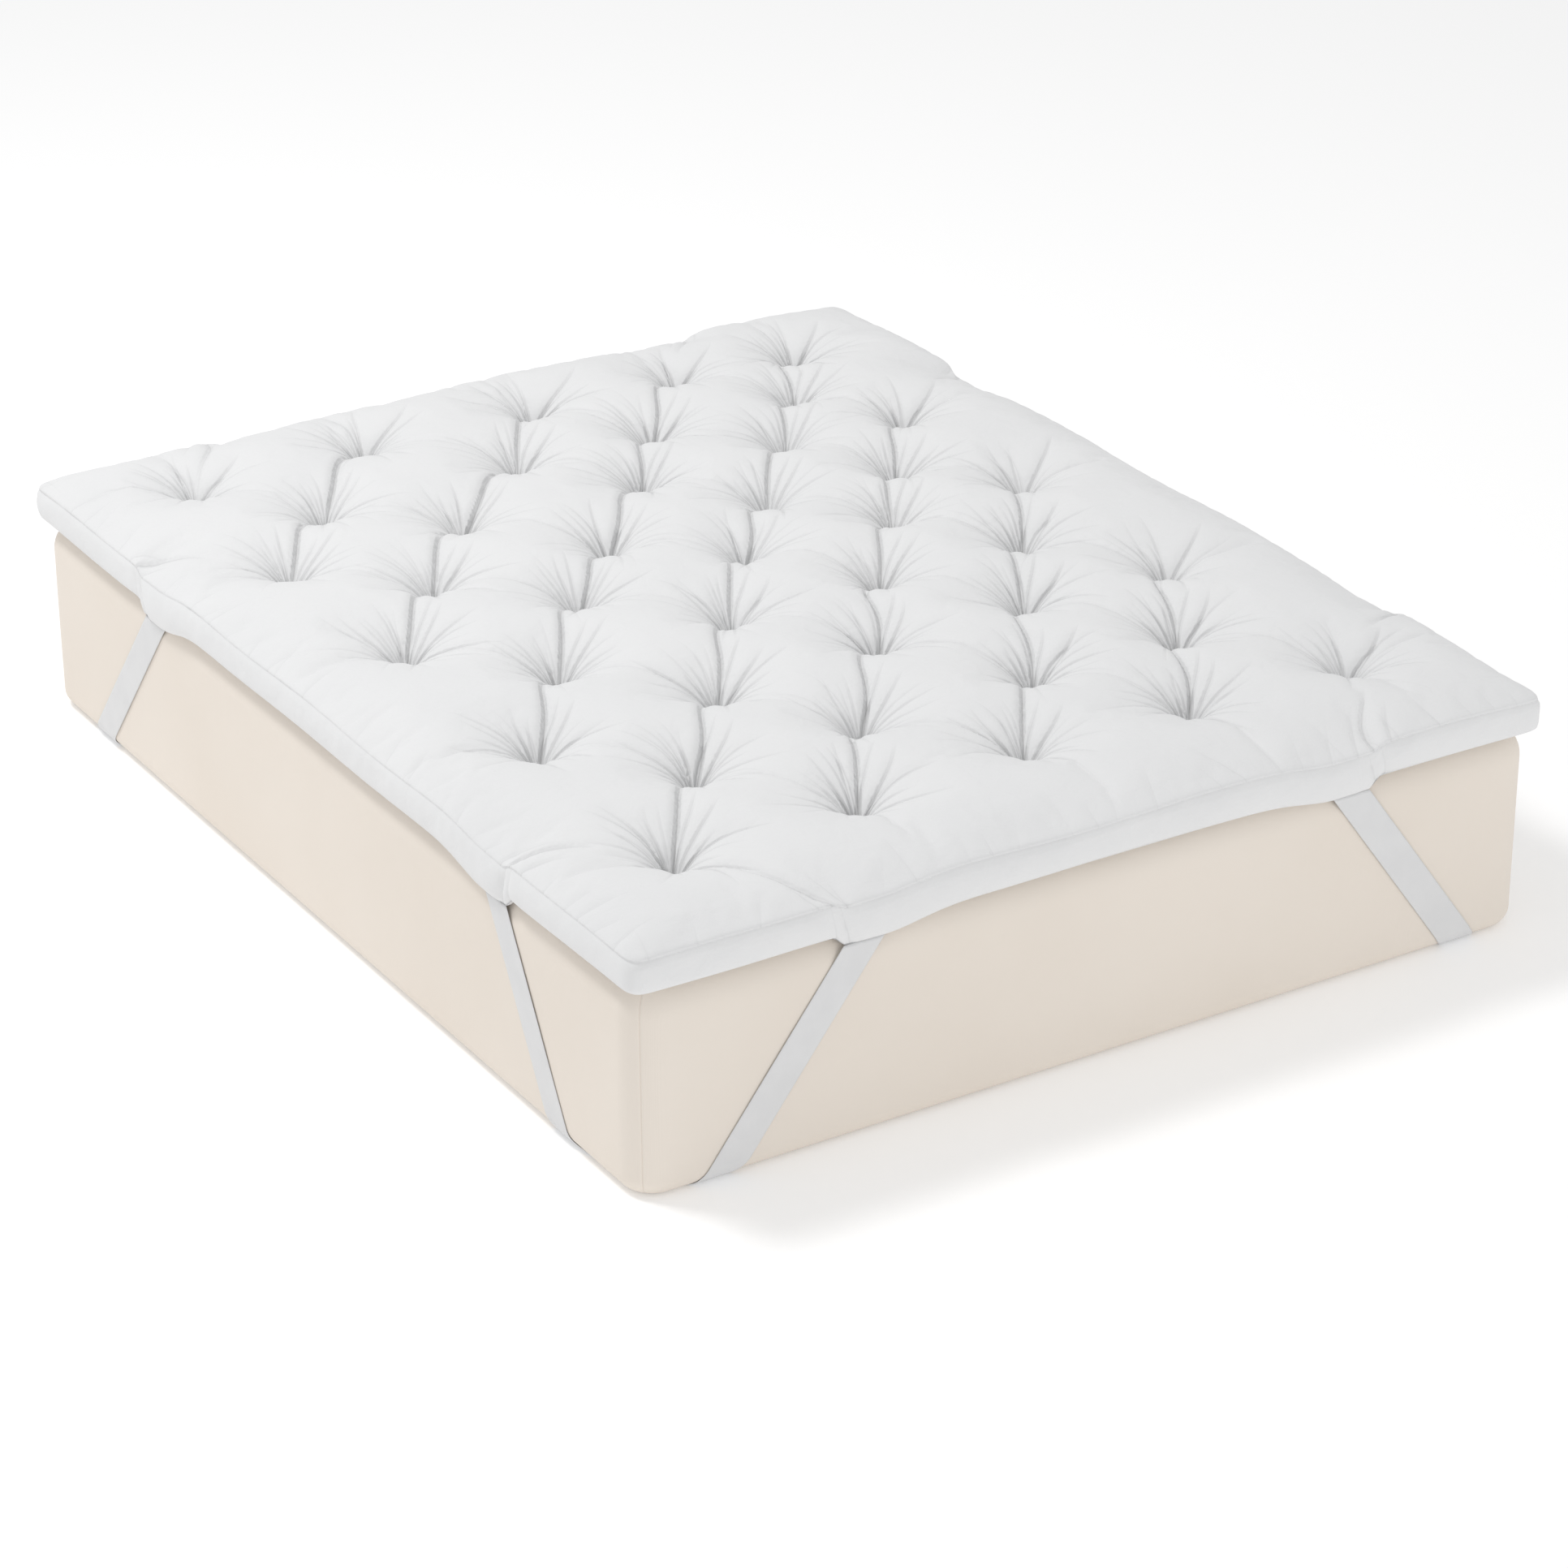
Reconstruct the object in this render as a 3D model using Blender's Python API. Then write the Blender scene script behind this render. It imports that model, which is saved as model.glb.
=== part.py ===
"""A tufted mattress topper lying on a mattress, with an elastic strap round each of the four corners.

Metres, +Z up. The origin is the middle of the mattress's underside. +X runs across the bed and +Y along it.
"""

import math

import bmesh
import bpy
import numpy as np

# Mattress
MATTRESS_WIDTH = 1.60
MATTRESS_LENGTH = 2.00
MATTRESS_HEIGHT = 0.34
MATTRESS_CORNER_RADIUS = 0.055
MATTRESS_TOP_RADIUS = 0.05
MATTRESS_FOOT_RADIUS = 0.03
CORNER_STEPS = 6
EDGE_STEPS = 5
ROUND_PROFILE = 0.5
TOUCHING = 1e-6
SHARP_ANGLE = math.radians(40)

# Topper outline and band
OVERHANG = 0.010
TOPPER_CORNER_RADIUS = 0.06
TOPPER_CORNER_POWER = 5.0
REST_GAP = 0.0003
EDGE_GAP = 0.0025
BAND_BOTTOM = 0.341
SEAM_HEIGHT = 0.396
CORNER_DROOP = 0.006
CORNER_REACH = 0.16
SEAM_WAVE = 0.0025
BAND_WAVE = 0.00125
SEAM_WAVE_LENGTH = 0.47

# The underside's and the band's rings, as insets from the topper's outline
UNDERSIDE_INSETS = (0.057, 0.040, 0.024, 0.0125, 0.0075)
BAND_BULGE_INSET = 0.0
BAND_LOW_RISE = 0.012
BAND_HIGH_DROP = 0.010
SEAM_INSET = 0.004

# Puffed top: the crown stands above the seam, a tuft lies below it
CROWN_RISE = 0.038
TUFT_DEPTH = 0.012
EDGE_ROUND = 0.15
PINCH_RADIUS = 0.047
PINCH_POWER = 1.25

# Troughs between tufts, each a share of the puff's fullness: along one slant, along the other and to the edge
TROUGH_WIDTH = 0.030
TROUGH_POWER = 1.5
TROUGH_DEPTH = 0.18
CROSS_TROUGH_DEPTH = 0.08
EDGE_TROUGH_DEPTH = 0.10

# Grid of the top: two fine rows inside the seam, then even cells
FINE_ROWS = (0.010, 0.026)
CELL_ACROSS = 0.033
CELL_ALONG = 0.036
SNAP_REACH = 0.075

# Tufts, a row for each line across the bed: the tufts' places across (x) and along (y)
TUFT_ROWS = (
    ((-0.605, -0.285, 0.020, 0.315, 0.605), (-0.775, -0.765, -0.750, -0.760, -0.775)),
    ((-0.435, -0.140, 0.180, 0.455), (-0.550, -0.545, -0.540, -0.540)),
    ((-0.595, -0.265, 0.040, 0.325, 0.590), (-0.365, -0.335, -0.315, -0.305, -0.325)),
    ((-0.430, -0.100, 0.180, 0.460), (-0.135, -0.105, -0.105, -0.100)),
    ((-0.600, -0.270, 0.050, 0.340, 0.600), (0.050, 0.085, 0.100, 0.100, 0.100)),
    ((-0.440, -0.125, 0.200, 0.450), (0.260, 0.240, 0.270, 0.265)),
    ((-0.615, -0.285, 0.060, 0.360, 0.590), (0.420, 0.450, 0.450, 0.475, 0.455)),
    ((-0.460, -0.080, 0.185, 0.480), (0.610, 0.630, 0.630, 0.640)),
    ((-0.600, -0.270, 0.060, 0.350, 0.585), (0.810, 0.835, 0.835, 0.830, 0.810)),
)

# Straps, by corner: its signs in x and y, then how far from the corner the strap's middle stands
# at the top and at the foot of the end face, and at the top and at the foot of the long side
STRAPS = (
    ("strap_front_left", -1, -1, 0.375, 0.134, 0.395, 0.220),
    ("strap_front_right", 1, -1, 0.358, 0.128, 0.400, 0.210),
    ("strap_back_left", -1, 1, 0.370, 0.132, 0.455, 0.202),
    ("strap_back_right", 1, 1, 0.365, 0.130, 0.420, 0.210),
)
STRAP_WIDTH = 0.055
STRAP_THICKNESS = 0.0015
STRAP_GAP = 0.0005
STRAP_HEAD_GAP = 0.001
STRAP_TURN_START = 0.015
STRAP_ARC_STEPS = 8
STRAP_FLAT_RUN = 0.004
FLOOR_GAP = 0.0005
GROOVE_START = -0.01
GROOVE_DEPTH = 0.0032
GROOVE_MARGIN = 0.003

# How the straps draw the topper's edge down: level over the strap, then rising sharply on its corner
# side and gently on the other, wider and weaker further in
PULL_LEVEL = 0.030
PULL_WIDTH_INNER = 0.085
PULL_WIDTH_OUTER = 0.016
PULL_SPREAD = 0.35
PULL_FADE = 0.10
PULL_SEAM_SHARE = 0.55
END_PULL = 0.019
SIDE_PULLS = {-1: 0.020, 1: 0.027}

# Finishes: each cloth's colour and roughness
COTTON_WHITE = (0.86, 0.87, 0.88)
COTTON_ROUGHNESS = 0.85
COVER_CREAM = (0.82, 0.76, 0.69)
COVER_ROUGHNESS = 0.9
ELASTIC_WHITE = (0.80, 0.81, 0.83)
ELASTIC_ROUGHNESS = 0.8


def clear_scene():
    """Remove every object that the file starts with."""
    for obj in list(bpy.data.objects):
        bpy.data.objects.remove(obj, do_unlink=True)


def cloth_material(name, colour, roughness):
    """A matt textile finish."""
    material = bpy.data.materials.new(name)
    material.use_nodes = True
    shader = material.node_tree.nodes["Principled BSDF"]
    shader.inputs["Base Color"].default_value = (*colour, 1.0)
    shader.inputs["Roughness"].default_value = roughness
    shader.inputs["Metallic"].default_value = 0.0
    return material


def finish_object(name, bm, material):
    """Turn a bmesh into a smooth-shaded object of this name."""
    mesh = bpy.data.meshes.new(name)
    bm.to_mesh(mesh)
    bm.free()
    mesh.materials.append(material)
    mesh.shade_smooth()
    mesh.set_sharp_from_angle(angle=SHARP_ANGLE)
    obj = bpy.data.objects.new(name, mesh)
    bpy.context.scene.collection.objects.link(obj)
    return obj


def on_rounded_outline(x, y, inset):
    """Bring a point of the topper's rectangle onto its outline with round corners, drawn in by the inset."""
    half_x = MATTRESS_WIDTH / 2 + OVERHANG
    half_y = MATTRESS_LENGTH / 2 + OVERHANG
    radius = TOPPER_CORNER_RADIUS
    shrink = 1.0 - inset / radius
    past_x = (abs(x) - (half_x - radius)) / radius
    past_y = (abs(y) - (half_y - radius)) / radius
    if past_x > 0 and past_y > 0:
        power = TOPPER_CORNER_POWER
        scale = shrink * max(past_x, past_y) / (past_x**power + past_y**power) ** (1 / power)
        new_x = half_x - radius + past_x * scale * radius
        new_y = half_y - radius + past_y * scale * radius
    else:
        new_x = half_x - radius + past_x * shrink * radius if past_x > 0 else abs(x)
        new_y = half_y - radius + past_y * shrink * radius if past_y > 0 else abs(y)
    return math.copysign(new_x, x), math.copysign(new_y, y)


def strap_pull(x, y):
    """How far down the straps draw the topper here: most at its edge, fading inwards."""
    end_reach = abs(y) - MATTRESS_LENGTH / 2
    side_reach = abs(x) - MATTRESS_WIDTH / 2
    inward = max(OVERHANG - max(end_reach, side_reach), 0.0)
    drop = 0.0
    for _, sign_x, sign_y, end_top, _, side_top, _ in STRAPS:
        if end_reach >= side_reach:
            off = sign_x * x - (MATTRESS_WIDTH / 2 - end_top)
            depth = END_PULL if y * sign_y > 0 else 0.0
        else:
            off = sign_y * y - (MATTRESS_LENGTH / 2 - side_top)
            depth = SIDE_PULLS[sign_y] if x * sign_x > 0 else 0.0
        width = PULL_WIDTH_OUTER + PULL_SPREAD * inward if off > 0 else PULL_WIDTH_INNER
        past = max(abs(off) - PULL_LEVEL, 0.0)
        drop += depth * math.exp(-((past / width) ** 2))
    return drop * math.exp(-((inward / PULL_FADE) ** 2))


def corner_nearness(x, y):
    """One at the topper's corners, falling to nothing along its sides."""
    off = math.hypot(MATTRESS_WIDTH / 2 - abs(x), MATTRESS_LENGTH / 2 - abs(y))
    return math.exp(-((off / CORNER_REACH) ** 2))


def band_bottom(x, y):
    """Height of the band's lower edge at a place on the outline."""
    wave = BAND_WAVE * math.sin(2 * math.pi * (x - y) / SEAM_WAVE_LENGTH)
    return BAND_BOTTOM + wave - strap_pull(x, y)


def seam_height(x, y):
    """Height of the seam between the band and the top at a place on the outline."""
    wave = SEAM_WAVE * math.sin(2 * math.pi * (x + y) / SEAM_WAVE_LENGTH)
    return SEAM_HEIGHT + wave - CORNER_DROOP * corner_nearness(x, y) - PULL_SEAM_SHARE * strap_pull(x, y)


def underside_height(inset, bottom):
    """Height of the topper's underside: flat on the mattress, then down over its rounded edge."""
    past_edge = min(max(MATTRESS_TOP_RADIUS + OVERHANG - inset, 0.0), MATTRESS_TOP_RADIUS)
    edge = MATTRESS_HEIGHT - MATTRESS_TOP_RADIUS + math.sqrt(MATTRESS_TOP_RADIUS**2 - past_edge**2)
    return min(MATTRESS_HEIGHT + REST_GAP, max(bottom, edge + EDGE_GAP))


def tuft_points():
    """The tufts as an array of places, row by row."""
    return np.array([(x, y) for across, along in TUFT_ROWS for x, y in zip(across, along)])


def tuft_creases():
    """The troughs: from each tuft to its slanting neighbours, and from the outer tufts to the edge."""
    creases = []
    for lower, upper in zip(TUFT_ROWS, TUFT_ROWS[1:]):
        wide, narrow = (lower, upper) if len(lower[0]) > len(upper[0]) else (upper, lower)
        for index, (x, y) in enumerate(zip(*narrow)):
            for step in (0, 1):
                other = (wide[0][index + step], wide[1][index + step])
                rising = (other[0] - x) * (other[1] - y) > 0
                creases.append(((x, y), other, TROUGH_DEPTH if rising else CROSS_TROUGH_DEPTH))
    half_x = MATTRESS_WIDTH / 2 + OVERHANG
    half_y = MATTRESS_LENGTH / 2 + OVERHANG
    for across, along in TUFT_ROWS[::2]:
        creases.append(((across[0], along[0]), (-half_x, along[0]), EDGE_TROUGH_DEPTH))
        creases.append(((across[-1], along[-1]), (half_x, along[-1]), EDGE_TROUGH_DEPTH))
    for side, row in ((-half_y, TUFT_ROWS[0]), (half_y, TUFT_ROWS[-1])):
        for x, y in zip(*row):
            creases.append(((x, y), (x, side), EDGE_TROUGH_DEPTH))
    return creases


def distance_to_crease(points, start, end):
    """Distance of each point from a straight crease."""
    start = np.array(start)
    run = np.array(end) - start
    along = np.clip((points - start) @ run / (run @ run), 0.0, 1.0)
    return np.linalg.norm(points - start - along[:, None] * run, axis=1)


def puff(points):
    """The puffs' fullness at each point: none at a tuft, one on an open crown."""
    fullness = np.ones(len(points))
    for tuft in tuft_points():
        off = np.linalg.norm(points - tuft, axis=1)
        fullness *= 1.0 - np.exp(-((off / PINCH_RADIUS) ** PINCH_POWER))
    for start, end, depth in tuft_creases():
        off = distance_to_crease(points, start, end)
        fullness *= 1.0 - depth * np.exp(-((off / TROUGH_WIDTH) ** TROUGH_POWER))
    return fullness


def grid_lines(half, cell):
    """Places of the grid's lines from one edge to the other, finer beside the seam."""
    inner = half - FINE_ROWS[-1]
    count = round(2 * inner / cell)
    even = [-inner + 2 * inner * step / count for step in range(count + 1)]
    rim = [half - row for row in (0.0, *FINE_ROWS[:-1])]
    return [-place for place in rim] + even + rim[::-1]


def snap_to_tufts(points, movable):
    """Move the nearest grid point onto each tuft, with its neighbours drawn along."""
    for tuft in tuft_points():
        off = np.linalg.norm(points - tuft, axis=1)
        nearest = np.argmin(off)
        shift = tuft - points[nearest]
        reach = np.linalg.norm(points - points[nearest], axis=1) / SNAP_REACH
        weight = np.clip(1.0 - reach**2, 0.0, 1.0) ** 2
        points[movable] += (weight[:, None] * shift)[movable]
    return points


def top_points(columns, rows):
    """The top's grid points in space, row by row."""
    half_x = MATTRESS_WIDTH / 2 + OVERHANG
    half_y = MATTRESS_LENGTH / 2 + OVERHANG
    flat = np.array([on_rounded_outline(x, y, SEAM_INSET) for y in rows for x in columns])
    square = np.array([(x, y) for y in rows for x in columns])
    edge_gap = np.minimum(half_x - np.abs(square[:, 0]), half_y - np.abs(square[:, 1]))
    flat = snap_to_tufts(flat, edge_gap > FINE_ROWS[-1] + TOUCHING)
    nearness = np.clip(edge_gap / EDGE_ROUND, 0.0, 1.0)
    rise = np.sqrt(1.0 - (1.0 - nearness) ** 2)
    fullness = puff(flat)
    seam = np.array([seam_height(x, y) for x, y in flat])
    height = seam + rise * (CROWN_RISE * fullness - TUFT_DEPTH * (1.0 - fullness))
    return np.column_stack([flat, height])


def rim_order(across, along):
    """Grid indices of the top's rim, anticlockwise from above."""
    last_x, last_y = across - 1, along - 1
    rim = list(range(across))
    rim += [y * across + last_x for y in range(1, along)]
    rim += [last_y * across + x for x in range(last_x - 1, -1, -1)]
    rim += [y * across for y in range(last_y - 1, 0, -1)]
    return rim


def build_topper(material):
    """The filled topper: puffed top, boxed band, and an underside that rests on the mattress."""
    half_x = MATTRESS_WIDTH / 2 + OVERHANG
    half_y = MATTRESS_LENGTH / 2 + OVERHANG
    columns = grid_lines(half_x, CELL_ACROSS)
    rows = grid_lines(half_y, CELL_ALONG)
    bm = bmesh.new()
    grid = [bm.verts.new(point) for point in top_points(columns, rows)]
    across = len(columns)
    for row in range(len(rows) - 1):
        for column in range(across - 1):
            first = row * across + column
            bm.faces.new([grid[first], grid[first + 1], grid[first + across + 1], grid[first + across]])

    rim = rim_order(across, len(rows))
    places = [(columns[index % across], rows[index // across]) for index in rim]

    def ring(inset, height_at):
        """A ring of the band or the underside, one point below each point of the rim."""
        made = []
        for x, y in places:
            ring_x, ring_y = on_rounded_outline(x, y, inset)
            made.append(bm.verts.new((ring_x, ring_y, height_at(x, y))))
        return made

    rings = [[grid[index] for index in rim]]
    rings.append(ring(BAND_BULGE_INSET, lambda x, y: seam_height(x, y) - BAND_HIGH_DROP))
    rings.append(ring(BAND_BULGE_INSET, lambda x, y: band_bottom(x, y) + BAND_LOW_RISE))
    for inset in reversed(UNDERSIDE_INSETS):
        rings.append(ring(inset, lambda x, y, d=inset: underside_height(d, band_bottom(x, y))))
    for upper, lower in zip(rings, rings[1:]):
        for step in range(len(rim)):
            following = (step + 1) % len(rim)
            bm.faces.new([upper[following], upper[step], lower[step], lower[following]])
    middle = bm.verts.new((0.0, 0.0, MATTRESS_HEIGHT + REST_GAP))
    for step in range(len(rim)):
        bm.faces.new([rings[-1][(step + 1) % len(rim)], rings[-1][step], middle])
    bmesh.ops.recalc_face_normals(bm, faces=bm.faces[:])
    return finish_object("topper", bm, material)


def flat_angle():
    """Where the strap leaves the rounded foot and runs flat under the mattress, as an angle down the arc."""
    reach = MATTRESS_FOOT_RADIUS + STRAP_GAP + STRAP_THICKNESS / 2
    return math.asin((MATTRESS_FOOT_RADIUS - FLOOR_GAP - STRAP_THICKNESS / 2) / reach)


def wrap(run, lift):
    """Depth into the mattress and height of a strap point, by its run down the face, round and under.

    The run is zero where the foot's arc starts. The lift is from the strap's middle outwards.
    """
    radius = MATTRESS_FOOT_RADIUS
    reach = radius + STRAP_GAP + STRAP_THICKNESS / 2
    if run <= 0:
        return radius - reach - lift, radius - run
    turned = run / radius
    last = flat_angle()
    if turned < last:
        return radius - (reach + lift) * math.cos(turned), radius - (reach + lift) * math.sin(turned)
    return radius - reach * math.cos(last) + run - radius * last, radius - reach * math.sin(last) - lift


def bend_share(run):
    """How much of the strap's turn lies above this run, summed along the run."""
    flat = MATTRESS_FOOT_RADIUS * flat_angle()
    span = flat - STRAP_TURN_START
    part = min(max((run - STRAP_TURN_START) / span, 0.0), 1.0)
    return span * (part**3 - part**4 / 2) + max(run - flat, 0.0)


def half_strap_lines(top, foot, other_foot, start_height, half_width):
    """Level cross lines of the strap, from under the topper to where it lies flat below the corner.

    Each is the run, then the outer and the inner edge's distance from the corner. The strap keeps its
    slant down the face and turns towards the other foot as it goes round the mattress's edge.
    """
    head = MATTRESS_FOOT_RADIUS - start_height
    turn = MATTRESS_FOOT_RADIUS * math.pi / 4
    flat = MATTRESS_FOOT_RADIUS * flat_angle()
    under_slope = -foot / other_foot
    turned = bend_share(turn)
    face_slope = (foot - top - under_slope * turned) / (turn - head - turned)
    lines = []
    for run in [head, *np.linspace(0.0, flat, STRAP_ARC_STEPS + 1), flat + STRAP_FLAT_RUN]:
        share = min(max((run - STRAP_TURN_START) / (flat - STRAP_TURN_START), 0.0), 1.0)
        slope = face_slope + (under_slope - face_slope) * share**2 * (3 - 2 * share)
        middle = top + face_slope * (run - head) + (under_slope - face_slope) * bend_share(run)
        reach = half_width * math.hypot(1.0, slope)
        lines.append((run, middle - reach, middle + reach))
    return lines


def corner_place(sign_x, sign_y, on_end, from_corner, depth, height):
    """A place by a corner in space, from its distances along and into the end face or the long side."""
    if on_end:
        x, y = MATTRESS_WIDTH / 2 - from_corner, MATTRESS_LENGTH / 2 - depth
    else:
        x, y = MATTRESS_WIDTH / 2 - depth, MATTRESS_LENGTH / 2 - from_corner
    return sign_x * x, sign_y * y, height


def strap_lines(corner, half_width):
    """The strap's cross lines from one end to the other: each (on the end face, run, outer, inner)."""
    _, sign_x, sign_y, end_top, end_foot, side_top, side_foot = corner
    edge_x = sign_x * (MATTRESS_WIDTH / 2 + OVERHANG)
    edge_y = sign_y * (MATTRESS_LENGTH / 2 + OVERHANG)
    end_start = band_bottom(sign_x * (MATTRESS_WIDTH / 2 - end_top), edge_y) - STRAP_HEAD_GAP
    side_start = band_bottom(edge_x, sign_y * (MATTRESS_LENGTH / 2 - side_top)) - STRAP_HEAD_GAP
    on_end = half_strap_lines(end_top, end_foot, side_foot, end_start, half_width)
    on_side = half_strap_lines(side_top, side_foot, end_foot, side_start, half_width)
    return [(True, *line) for line in on_end] + [(False, *line) for line in on_side[::-1]]


def slab_faces(bm, upper, lower):
    """Close a slab between two rows of point pairs that lie over each other."""
    last = len(upper) - 1
    for step in range(last):
        for row in (upper, lower):
            bm.faces.new([row[step][0], row[step][1], row[step + 1][1], row[step + 1][0]])
        for side in (0, 1):
            bm.faces.new([upper[step][side], upper[step + 1][side], lower[step + 1][side], lower[step][side]])
    for step in (0, last):
        bm.faces.new([upper[step][0], upper[step][1], lower[step][1], lower[step][0]])
    bmesh.ops.recalc_face_normals(bm, faces=bm.faces[:])


def build_strap(corner, material):
    """One elastic strap: down one face, slantwise under the corner and up the next face."""
    name, sign_x, sign_y = corner[:3]
    bm = bmesh.new()
    skins = []
    for lift in (STRAP_THICKNESS / 2, -STRAP_THICKNESS / 2):
        skin = []
        for on_end, run, *edges in strap_lines(corner, STRAP_WIDTH / 2):
            depth, height = wrap(run, lift)
            places = [corner_place(sign_x, sign_y, on_end, edge, depth, height) for edge in edges]
            skin.append([bm.verts.new(place) for place in places])
        skins.append(skin)
    slab_faces(bm, *skins)
    return finish_object(name, bm, material)


def groove_cutter(corner):
    """A shallow slab under one corner of the mattress, a little wider than the strap it leaves room for."""
    name, sign_x, sign_y = corner[:3]
    bm = bmesh.new()
    levels = []
    flat_run = MATTRESS_FOOT_RADIUS * flat_angle()
    flat_depth = wrap(flat_run, 0.0)[0]
    for level in (GROOVE_START, GROOVE_DEPTH):
        pairs = []
        for on_end, run, *edges in strap_lines(corner, STRAP_WIDTH / 2 + GROOVE_MARGIN):
            if run < STRAP_TURN_START / 2:
                continue
            depth = flat_depth + run - flat_run
            places = [corner_place(sign_x, sign_y, on_end, edge, depth, level) for edge in edges]
            pairs.append([bm.verts.new(place) for place in places])
        levels.append(pairs)
    slab_faces(bm, *levels)
    mesh = bpy.data.meshes.new(f"groove_for_{name}")
    bm.to_mesh(mesh)
    bm.free()
    cutter = bpy.data.objects.new(f"groove_for_{name}", mesh)
    cutter.hide_render = True
    cutter.display_type = "WIRE"
    bpy.context.scene.collection.objects.link(cutter)
    return cutter


def build_mattress(material):
    """A plain block with round corners and edges, grooved underneath where the straps press in."""
    bm = bmesh.new()
    bmesh.ops.create_cube(bm, size=1.0)
    size = (MATTRESS_WIDTH, MATTRESS_LENGTH, MATTRESS_HEIGHT)
    bmesh.ops.scale(bm, vec=size, verts=bm.verts)
    bmesh.ops.translate(bm, vec=(0.0, 0.0, MATTRESS_HEIGHT / 2), verts=bm.verts)
    upright = [edge for edge in bm.edges if abs(edge.verts[0].co.z - edge.verts[1].co.z) > MATTRESS_HEIGHT / 2]
    rounding = {"profile": ROUND_PROFILE, "affect": "EDGES"}
    bmesh.ops.bevel(bm, geom=upright, offset=MATTRESS_CORNER_RADIUS, segments=CORNER_STEPS, **rounding)
    for height, radius in ((MATTRESS_HEIGHT, MATTRESS_TOP_RADIUS), (0.0, MATTRESS_FOOT_RADIUS)):
        loop = [edge for edge in bm.edges if all(abs(vert.co.z - height) < TOUCHING for vert in edge.verts)]
        bmesh.ops.bevel(bm, geom=loop, offset=radius, segments=EDGE_STEPS, **rounding)
    mattress = finish_object("mattress", bm, material)
    for corner in STRAPS:
        groove = mattress.modifiers.new(f"groove for {corner[0]}", "BOOLEAN")
        groove.operation = "DIFFERENCE"
        groove.solver = "EXACT"
        groove.object = groove_cutter(corner)
    return mattress


def main():
    """Build the mattress, the topper on it and the four straps."""
    clear_scene()
    build_mattress(cloth_material("mattress cover", COVER_CREAM, COVER_ROUGHNESS))
    build_topper(cloth_material("white cotton", COTTON_WHITE, COTTON_ROUGHNESS))
    elastic = cloth_material("white elastic", ELASTIC_WHITE, ELASTIC_ROUGHNESS)
    for corner in STRAPS:
        build_strap(corner, elastic)


main()
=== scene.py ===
import logging
import math
from dataclasses import dataclass, field
from enum import Enum

import bmesh
import bpy
import numpy as np
from mathutils import Matrix, Vector


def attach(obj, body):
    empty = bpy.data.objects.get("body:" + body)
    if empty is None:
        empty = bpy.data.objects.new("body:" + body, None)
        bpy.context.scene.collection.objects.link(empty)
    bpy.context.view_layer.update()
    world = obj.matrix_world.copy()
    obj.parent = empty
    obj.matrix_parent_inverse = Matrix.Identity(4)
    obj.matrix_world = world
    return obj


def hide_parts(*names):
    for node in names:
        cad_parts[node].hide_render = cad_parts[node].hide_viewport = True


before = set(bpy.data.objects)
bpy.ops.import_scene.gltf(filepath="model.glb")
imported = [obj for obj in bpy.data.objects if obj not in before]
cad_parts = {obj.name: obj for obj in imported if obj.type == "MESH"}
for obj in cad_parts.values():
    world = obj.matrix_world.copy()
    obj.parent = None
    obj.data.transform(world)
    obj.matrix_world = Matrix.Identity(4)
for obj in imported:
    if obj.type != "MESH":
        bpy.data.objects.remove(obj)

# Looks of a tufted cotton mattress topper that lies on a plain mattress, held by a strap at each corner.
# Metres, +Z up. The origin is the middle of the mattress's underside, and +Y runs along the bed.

ROOT_BODY = "root"
LOG = logging.getLogger("topper")

Colour = tuple[float, float, float]
Place = tuple[float, float]


class CreaseKind(Enum):
    """The kinds of crease pressed into the topper's top."""

    DEEP = "deep"
    HOOK = "hook"
    BESIDE = "beside"
    ACROSS = "across"
    FAN = "fan"
    TO_EDGE = "to edge"
    AT_STRAP = "at strap"
    PUCKER = "pucker"


class Face(Enum):
    """The two kinds of mattress side that a strap runs over."""

    END = "end"
    LONG_SIDE = "long side"


@dataclass(frozen=True)
class CreaseLook:
    """How one kind of crease is pressed in.

    The depth and width are in metres. The flare widens it towards its far end, the fade weakens it there,
    and the steepness narrows its one side, so that the cloth looks folded over. The line is how strongly the
    thin fold at its bottom is drawn, as painted shade that darkens the colour there and as a dent in the
    shading normal, with the distance over which it sets in and half its width.
    """

    depth: float
    width: float
    flare: float
    fade: float
    steepness: float
    line: float
    line_start: float
    line_width: float
    gathers: bool = False


CREASE_LOOKS = {
    CreaseKind.DEEP: CreaseLook(0.0150, 0.0090, 0.0, 0.25, 2.0, 1.5, 0.0, 0.0024, True),
    CreaseKind.HOOK: CreaseLook(0.0100, 0.0075, 0.0, 0.50, 1.8, 1.3, 0.0, 0.0023, True),
    CreaseKind.BESIDE: CreaseLook(0.0085, 0.0080, 0.5, 0.75, 1.6, 1.0, 0.012, 0.0022, True),
    CreaseKind.ACROSS: CreaseLook(0.0060, 0.0080, 0.4, 0.90, 1.6, 0.55, 0.006, 0.0026, True),
    CreaseKind.FAN: CreaseLook(0.0070, 0.0055, 1.2, 0.80, 1.4, 0.95, 0.014, 0.0018),
    CreaseKind.TO_EDGE: CreaseLook(0.0060, 0.0080, 0.8, 1.00, 1.4, 0.6, 0.010, 0.0026, True),
    CreaseKind.AT_STRAP: CreaseLook(0.0110, 0.0090, 0.3, 0.60, 1.8, 0.75, 0.0, 0.0030, True),
    CreaseKind.PUCKER: CreaseLook(0.0034, 0.0065, 1.0, 1.00, 1.3, 0.3, 0.0, 0.0022),
}

# Each face's corners carry the offsets and strengths of its nearest folds. Offsets are in half widths.
FOLD_ATTRIBUTES = ("fold_offset", "fold_strength")
FOLDS_A_FACE = 3
SEAM_SLOT = 2
FOLD_REACH = 5.0
OUT_OF_REACH = 60.0
DENT_REACH = 2.6


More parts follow.
